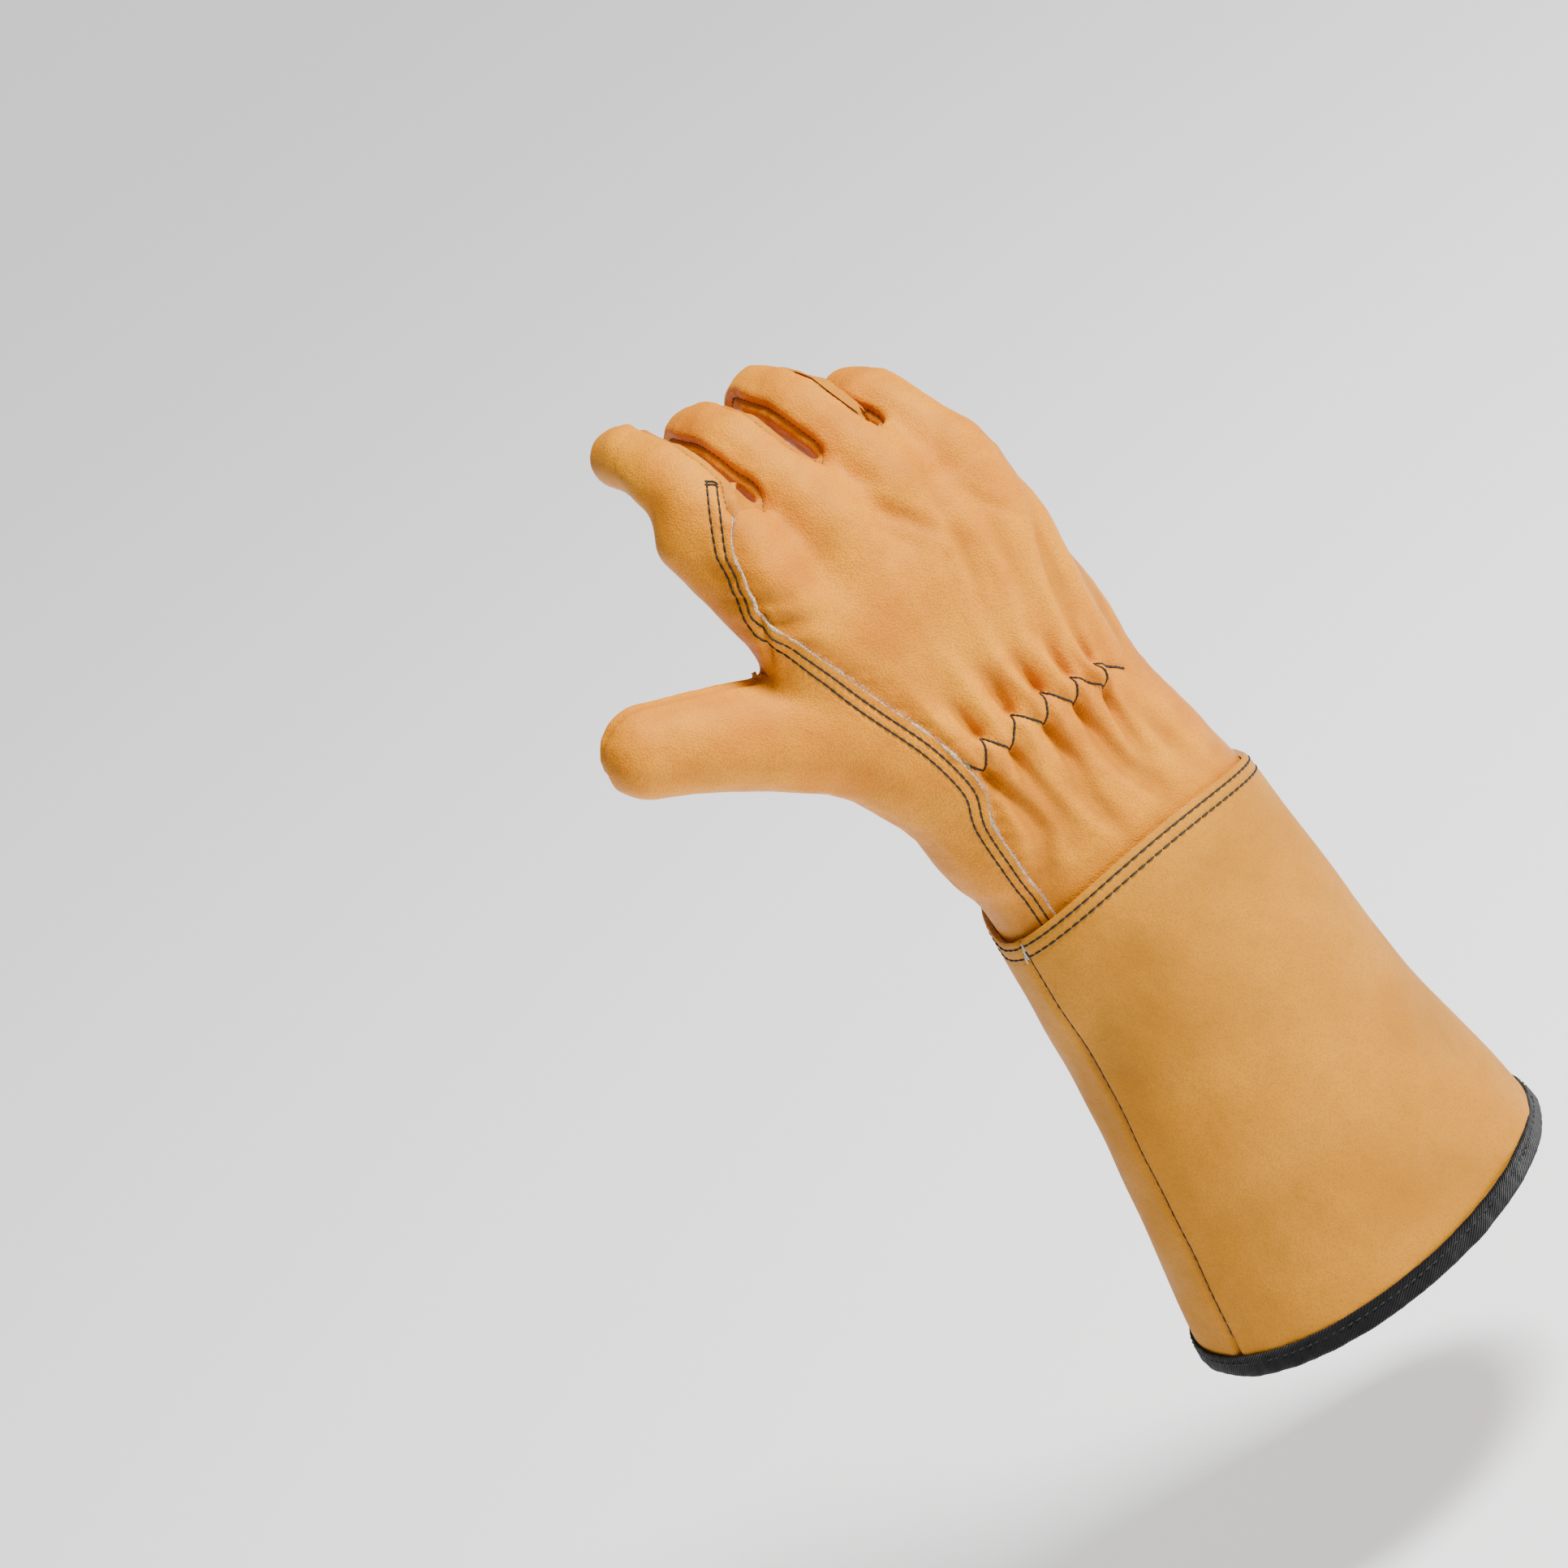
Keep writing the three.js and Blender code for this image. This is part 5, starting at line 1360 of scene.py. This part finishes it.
cuff_leather = grain_leather(
    "smooth_cuff_leather", light=(0.66, 0.265, 0.012, 1), deep=(0.6, 0.23, 0.008, 1),
    grain_size=0.0006, grain_depth=0.00005, roughness=0.6)
cuff_edge = raw_edge("cuff_cut_edge", pale=(0.66, 0.45, 0.23, 1), brown=(0.5, 0.32, 0.14, 1))
sewn_piece("cuff_back_sheet", [cuff_sheet(OUTSIDE_SEAM, THUMB_SIDE_SEAM)], CUFF_LEATHER,
           "cuff_back", cuff_leather, cuff_edge)
sewn_piece("cuff_palm_sheet", [cuff_sheet(THUMB_SIDE_SEAM, OUTSIDE_SEAM + 360)], CUFF_LEATHER,
           "cuff_palm", cuff_leather, cuff_edge)

# The binding: black woven tape folded over the cuff's mouth and sewn through both edges. It is
# one section carried round the mouth.
TAPE_WIDTH = 9
TAPE_TURNS = 480
TAPE_RADIUS = 0.066
FOLD_SHARE = 0.22


def tape_profile():
    """The folded tape in section, level off the cuff's skin against height up from the mouth:
    the outer leg, a round fold under the edge, the inner leg, and back up between them."""
    outside = 2 * SEAM_GAP + CUFF_LEATHER
    middle = 0.5 * outside
    radius = 0.5 * outside + TAPE
    leg = np.linspace(1, FOLD_SHARE, 12)
    soft = 0.25 * np.sin(np.linspace(0, math.pi, 12))
    fold = np.radians(np.linspace(0, 180, 13))
    outer = np.stack([outside + TAPE + soft - 0.3 * (leg > 0.95), TAPE_WIDTH * leg], 1)
    fold_height = FOLD_SHARE * TAPE_WIDTH * (1 - np.sin(fold))
    under = np.stack([middle + radius * np.cos(fold), fold_height], 1)
    inner = np.stack([-TAPE - soft, TAPE_WIDTH * leg[::-1]], 1)
    between = np.array([[0, TAPE_WIDTH], [0, 2.5 * TAPE], [outside, 2.5 * TAPE], [outside, TAPE_WIDTH]])
    return np.concatenate([outer, under[1:-1], inner, between])


profile = tape_profile()
turn = np.repeat(np.linspace(0, 360, TAPE_TURNS, endpoint=False), len(profile))
level = np.tile(profile[:, 0], TAPE_TURNS)
up = np.tile(profile[:, 1], TAPE_TURNS)
tape_skin = skin_points(cuff_ray(turn, mouth_at(turn) + up), -1, level)
sag = 0.22 * waves(tape_skin, 14, 31) + 0.12 * waves(tape_skin, 5, 32)
tape_points = tape_skin + skin_normals(tape_skin, -1) * (sag * (level > CUFF_LEATHER))[:, None]
index = np.arange(TAPE_TURNS * len(profile)).reshape(TAPE_TURNS, len(profile))
next_turn = np.roll(index, -1, 0)
quads = np.stack([index, next_turn, np.roll(next_turn, -1, 1), np.roll(index, -1, 1)], -1)
quads = quads.reshape(-1, 4)


def woven_tape():
    """Black twill: fine slanting ribs along the tape from its own length and width."""
    material, nodes, links, shader = new_material("black_woven_tape")
    both = nodes.new("ShaderNodeCombineXYZ")
    for axis, name in (("X", "along_tape"), ("Y", "across_tape")):
        measure = nodes.new("ShaderNodeAttribute")
        measure.attribute_name = name
        links.new(measure.outputs["Fac"], both.inputs[axis])
    rib = nodes.new("ShaderNodeTexWave")
    rib.bands_direction = "DIAGONAL"
    rib.inputs["Scale"].default_value = 520
    rib.inputs["Distortion"].default_value = 0.6
    links.new(both.outputs["Vector"], rib.inputs["Vector"])
    ribbed = rib.outputs["Fac"]
    black = two_tone(nodes, links, ribbed, (0.0015, 0.0015, 0.002, 1), (0.007, 0.007, 0.008, 1))
    links.new(black, shader.inputs["Base Color"])
    shader.inputs["Roughness"].default_value = 0.85
    shader.inputs["Specular IOR Level"].default_value = 0.1
    shader.inputs["Sheen Weight"].default_value = 0.15
    links.new(raised(nodes, links, ribbed, 0.00025), shader.inputs["Normal"])
    return material


def closed_piece(name, points, faces, material):
    """A closed mesh from points in millimetres, its faces turned outwards and shaded smooth."""
    mesh = bpy.data.meshes.new(name)
    mesh.from_pydata((points * METRES).tolist(), [], faces)
    mesh.materials.append(material)
    form = bmesh.new()
    form.from_mesh(mesh)
    bmesh.ops.recalc_face_normals(form, faces=form.faces)
    form.to_mesh(mesh)
    form.free()
    mesh.shade_smooth()
    piece = bpy.data.objects.new(name, mesh)
    bpy.context.scene.collection.objects.link(piece)
    return piece


tape = closed_piece("cuff_tape", tape_points, quads.tolist(), woven_tape())
tape.data.set_sharp_from_angle(angle=math.radians(60))
woven_length = tape.data.attributes.new("along_tape", "FLOAT", "POINT")
woven_length.data.foreach_set("value", np.radians(turn) * TAPE_RADIUS)
woven_across = tape.data.attributes.new("across_tape", "FLOAT", "POINT")
woven_across.data.foreach_set("value", up * METRES)
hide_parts("cuff_binding")
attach(tape, "root")

# The lap's raw edge: the cut edge of the thumb panel and the index finger's wing where they lap
# over the back panel. Wear has rolled it up into an uneven round and teased out loose fibres.
PITCH_STEPS = 6
RAW_STEP = 0.3
RAW_SIDES = 9
RAW_RADIUS = 0.46
FIBRES = 1500
FIBRE_RADII = (0.05, 0.04, 0.015)


def evenly(line, pitch):
    """Points of a line, six to each even pitch along it, and the number of pitches."""
    travel = np.concatenate([[0], np.cumsum(lengths(np.diff(line, axis=0)))])
    count = max(1, int(travel[-1] / pitch))
    marks = np.linspace(0, travel[-1], count * PITCH_STEPS + 1)
    return np.stack([np.interp(marks, travel, line[:, axis]) for axis in range(3)], 1), count


def rings_round(middle, side, out, radius, sides):
    """Rings of points about a line: radius times the cosine and sine of even turns, laid along
    its side and out directions."""
    angle = np.radians(np.arange(sides) * 360 / sides)
    across = np.cos(angle)[None, :, None] * side[:, None, :]
    return middle[:, None, :] + radius * (across + np.sin(angle)[None, :, None] * out[:, None, :])


def tube_faces(index):
    """Walls between the rings of tubes, from their points' numbers: tubes, rings, sides."""
    after = np.roll(index, -1, 2)
    walls = np.stack([index[:, :-1], after[:, :-1], after[:, 1:], index[:, 1:]], -1)
    return walls.reshape(-1, 4).tolist()


def tube_ends(index):
    """The faces that close both ends of the same tubes."""
    return np.concatenate([index[:, 0, ::-1], index[:, -1]]).tolist()


def raw_edge_roll():
    """The rolled edge, an uneven round carried along the seam, and the fibres, each a
    three-sided hair that bends over as it leaves the edge."""
    centre, _ = evenly(LAP_LINE[LAP_LINE[:, 2] > -CUFF_TOP_DROP], PITCH_STEPS * RAW_STEP)
    out = skin_normals(centre, -1)
    run = unit(np.gradient(centre, axis=0))
    side = np.cross(run, out)
    rise = leather_height(centre, True) - 0.45
    middle = centre + out * rise[:, None] + side * 0.1
    count = len(centre)
    chance = np.random.default_rng(41)
    rough = 0.13 * chance.normal(size=(count, RAW_SIDES)) + 0.12 * waves(centre, 3.5, 42)[:, None]
    swell = np.clip(0.85 + 0.6 * waves(centre, 11, 43), 0.35, 1.4)[:, None]
    radius = RAW_RADIUS * (1 + rough) * swell
    ring = rings_round(middle, side, out, radius[:, :, None], RAW_SIDES)
    root = chance.integers(0, count, FIBRES)
    aim = unit(
        side[root] * chance.uniform(0.1, 1.2, (FIBRES, 1))
        + out[root] * chance.uniform(0.1, 1.1, (FIBRES, 1))
        + run[root] * chance.normal(0, 0.9, (FIBRES, 1)))
    droop = unit(run[root] * chance.normal(0, 1, (FIBRES, 1)) + side[root])
    length = chance.uniform(0.4, 1.5, (FIBRES, 1))
    start = middle[root] + aim * 0.5
    joints = [start, start + aim * 0.55 * length, start + (0.8 * aim + 0.45 * droop) * length]
    cross_a = unit(np.cross(aim, droop))
    cross_b = np.cross(aim, cross_a)
    hairs = np.stack([
        joint + thick * (math.cos(turn) * cross_a + math.sin(turn) * cross_b)
        for joint, thick in zip(joints, FIBRE_RADII)
        for turn in (0, 2.1, 4.2)], 1)
    rolled = np.arange(count * RAW_SIDES).reshape(1, count, RAW_SIDES)
    hair = count * RAW_SIDES + np.arange(FIBRES * 9).reshape(FIBRES, 3, 3)
    faces = tube_faces(rolled) + tube_ends(rolled) + tube_faces(hair) + tube_ends(hair)
    points = np.concatenate([ring.reshape(-1, 3), hairs.reshape(-1, 3)])
    piece = closed_piece("lap_raw_edge", points, faces, pale_edge)
    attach(piece, "root")


raw_edge_roll()

# The stitching: twisted black thread, in two rows along the lap and round the cuff's top, in a
# zigzag over the elastic, one row through the tape, and fine brown rows in the finger seams.
THREAD_RADIUS = 0.38
STITCH_RINGS = 7
STITCH_SIDES = 6


def sewing_thread(name, colour):
    """Twisted polyester thread: its colour broken by fine twist."""
    material, nodes, links, shader = new_material(name)
    dark = tuple(0.5 * value for value in colour) + (1.0,)
    bright = tuple(1.3 * value for value in colour) + (1.0,)
    twist = two_tone(nodes, links, noise(nodes, links, 2600), dark, bright)
    links.new(twist, shader.inputs["Base Color"])
    shader.inputs["Roughness"].default_value = 0.6
    return material


black_thread = sewing_thread("black_thread", (0.004, 0.0036, 0.0034))
brown_thread = sewing_thread("brown_thread", (0.16, 0.075, 0.022))
white_thread = sewing_thread("white_thread", (0.62, 0.6, 0.56))


def stitches(name, lines, material, pitch, share=1.0, radius=THREAD_RADIUS):
    """Stitches along lines, each a share of the pitch long: a short tube of rings that bows up
    out of the leather by a sine and dives in at both ends, where the needle went."""
    points = []
    for line in lines:
        fine, count = evenly(line, pitch)
        along = np.linspace(0, 1, STITCH_RINGS) * share + 0.5 * (1 - share)
        marks = (np.arange(count)[:, None] + along[None, :]).ravel() * PITCH_STEPS
        low = np.clip(marks.astype(int), 0, len(fine) - 2)
        centre = fine[low] + (fine[low + 1] - fine[low]) * (marks - low)[:, None]
        out = skin_normals(centre, -1)
        side = unit(np.cross(unit(fine[low + 1] - fine[low]), out))
        bow = np.tile(np.sin(np.linspace(0, math.pi, STITCH_RINGS)), count)
        centre = centre + out * (radius * (1.1 * bow ** 0.6 - 0.5))[:, None]
        thick = radius * (0.8 + 0.2 * bow ** 0.5)
        rings = rings_round(centre, side, out, thick[:, None, None], STITCH_SIDES)
        points.append(rings.reshape(-1, 3))
    points = np.concatenate(points)
    index = np.arange(len(points)).reshape(-1, STITCH_RINGS, STITCH_SIDES)
    piece = closed_piece(name, points, tube_faces(index) + tube_ends(index), material)
    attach(piece, "root")


def lifted(line, own, upper):
    """A line on the bare form moved out onto the finished leather."""
    return line + skin_normals(line, own) * leather_height(line, upper)[:, None]


def on_cuff(line, off=0.0):
    """A line on the cuff's outer face moved out onto its softened leather, and off it by off."""
    height = cuff_height(line, np.full(len(line), INSIDE_EDGE))
    return line + skin_normals(line, -1) * (height + off)[:, None]


stitches("lap_stitches", [lifted(row, -1, True) for row in LAP_ROWS], black_thread,
         pitch=3.1, share=1.02)
stitches("cuff_top_stitches", [on_cuff(row) for row in CUFF_ROWS], black_thread,
         pitch=3.6)

# The cuff's side seams show their thread at the bottom of the groove
seam_threads = []
for seam in (THUMB_SIDE_SEAM, OUTSIDE_SEAM):
    heights = np.linspace(MOUTH + 12, -CUFF_TOP_DROP, 200)
    line = cuff_points(seam + 0 * heights, np.minimum(heights, cuff_top(seam + 0 * heights) - 1))
    seam_threads.append(on_cuff(line, 0.12))
stitches("cuff_seam_stitches", seam_threads, black_thread,
         pitch=3.0, share=1.05, radius=0.26)

# A pale back-tack holds the thumb-side seam under the two rows
pale_tacks = []
for start, end, turn in ((1.2, 4.4, -0.5), (2.0, 7.6, 0.1), (5.2, 8.6, 0.7)):
    drop = np.linspace(start, end, 8)
    around = THUMB_SIDE_SEAM + turn + 0.35 * drop / 4
    pale_tacks.append(on_cuff(cuff_points(around, cuff_top(around) - drop), 0.4))
stitches("cuff_back_tack", pale_tacks, white_thread, pitch=20.0, radius=0.36)

# Back-tacks: short stitches laid side by side across the rows' ends at the fork
tacks = []
for back in (2, 4):
    across = np.linspace(-0.25, 1.25, 8)[:, None]
    tacks.append(on_skin(mix(LAP_ROWS[0][-back], LAP_ROWS[1][-back], across), -1))
stitches("lap_back_tacks", [lifted(tack, -1, True) for tack in tacks], black_thread,
         pitch=9.0)

# The elastic's zigzag, in thicker thread, and the row through the tape
flat_zigzag = np.column_stack([ELASTIC_PATH[:, 0], 0 * ELASTIC_PATH[:, 0], ELASTIC_PATH[:, 1]])
elastic_fine, _ = evenly(flat_zigzag, 1.0)
elastic_line = skin_points((elastic_fine, elastic_fine + np.array([0.0, -1.0, 0.0])), -1)
stitches("elastic_zigzag", [lifted(elastic_line, -1, False)], black_thread,
         pitch=1.9, share=1.3, radius=1.15 * THREAD_RADIUS)
tape_line = skin_points(cuff_ray(ALL_ROUND, mouth_at(ALL_ROUND) + 0.72 * TAPE_WIDTH), -1,
                        2 * SEAM_GAP + CUFF_LEATHER + TAPE + 0.12)
stitches("tape_stitches", [tape_line], black_thread,
         pitch=3.2, share=0.7, radius=0.8 * THREAD_RADIUS)

# Fine brown rows in the finger seams
finger_seam_lines = [
    lifted(panel_edge(back_ray, f, side, 2, 4), f, False)
    for f, side in ((1, -1), (1, 1), (2, -1), (2, 1), (3, -1))]
index_seam = seam_line(
    lambda s: index_wrap_ray(1 + 0 * s, s), crotch_at(0) + 2, seam_end(0) - 4, 0)
finger_seam_lines.append(lifted(index_seam, 0, True))
stitches("finger_seam_stitches", finger_seam_lines, brown_thread,
         pitch=2.2, share=0.6, radius=0.2)
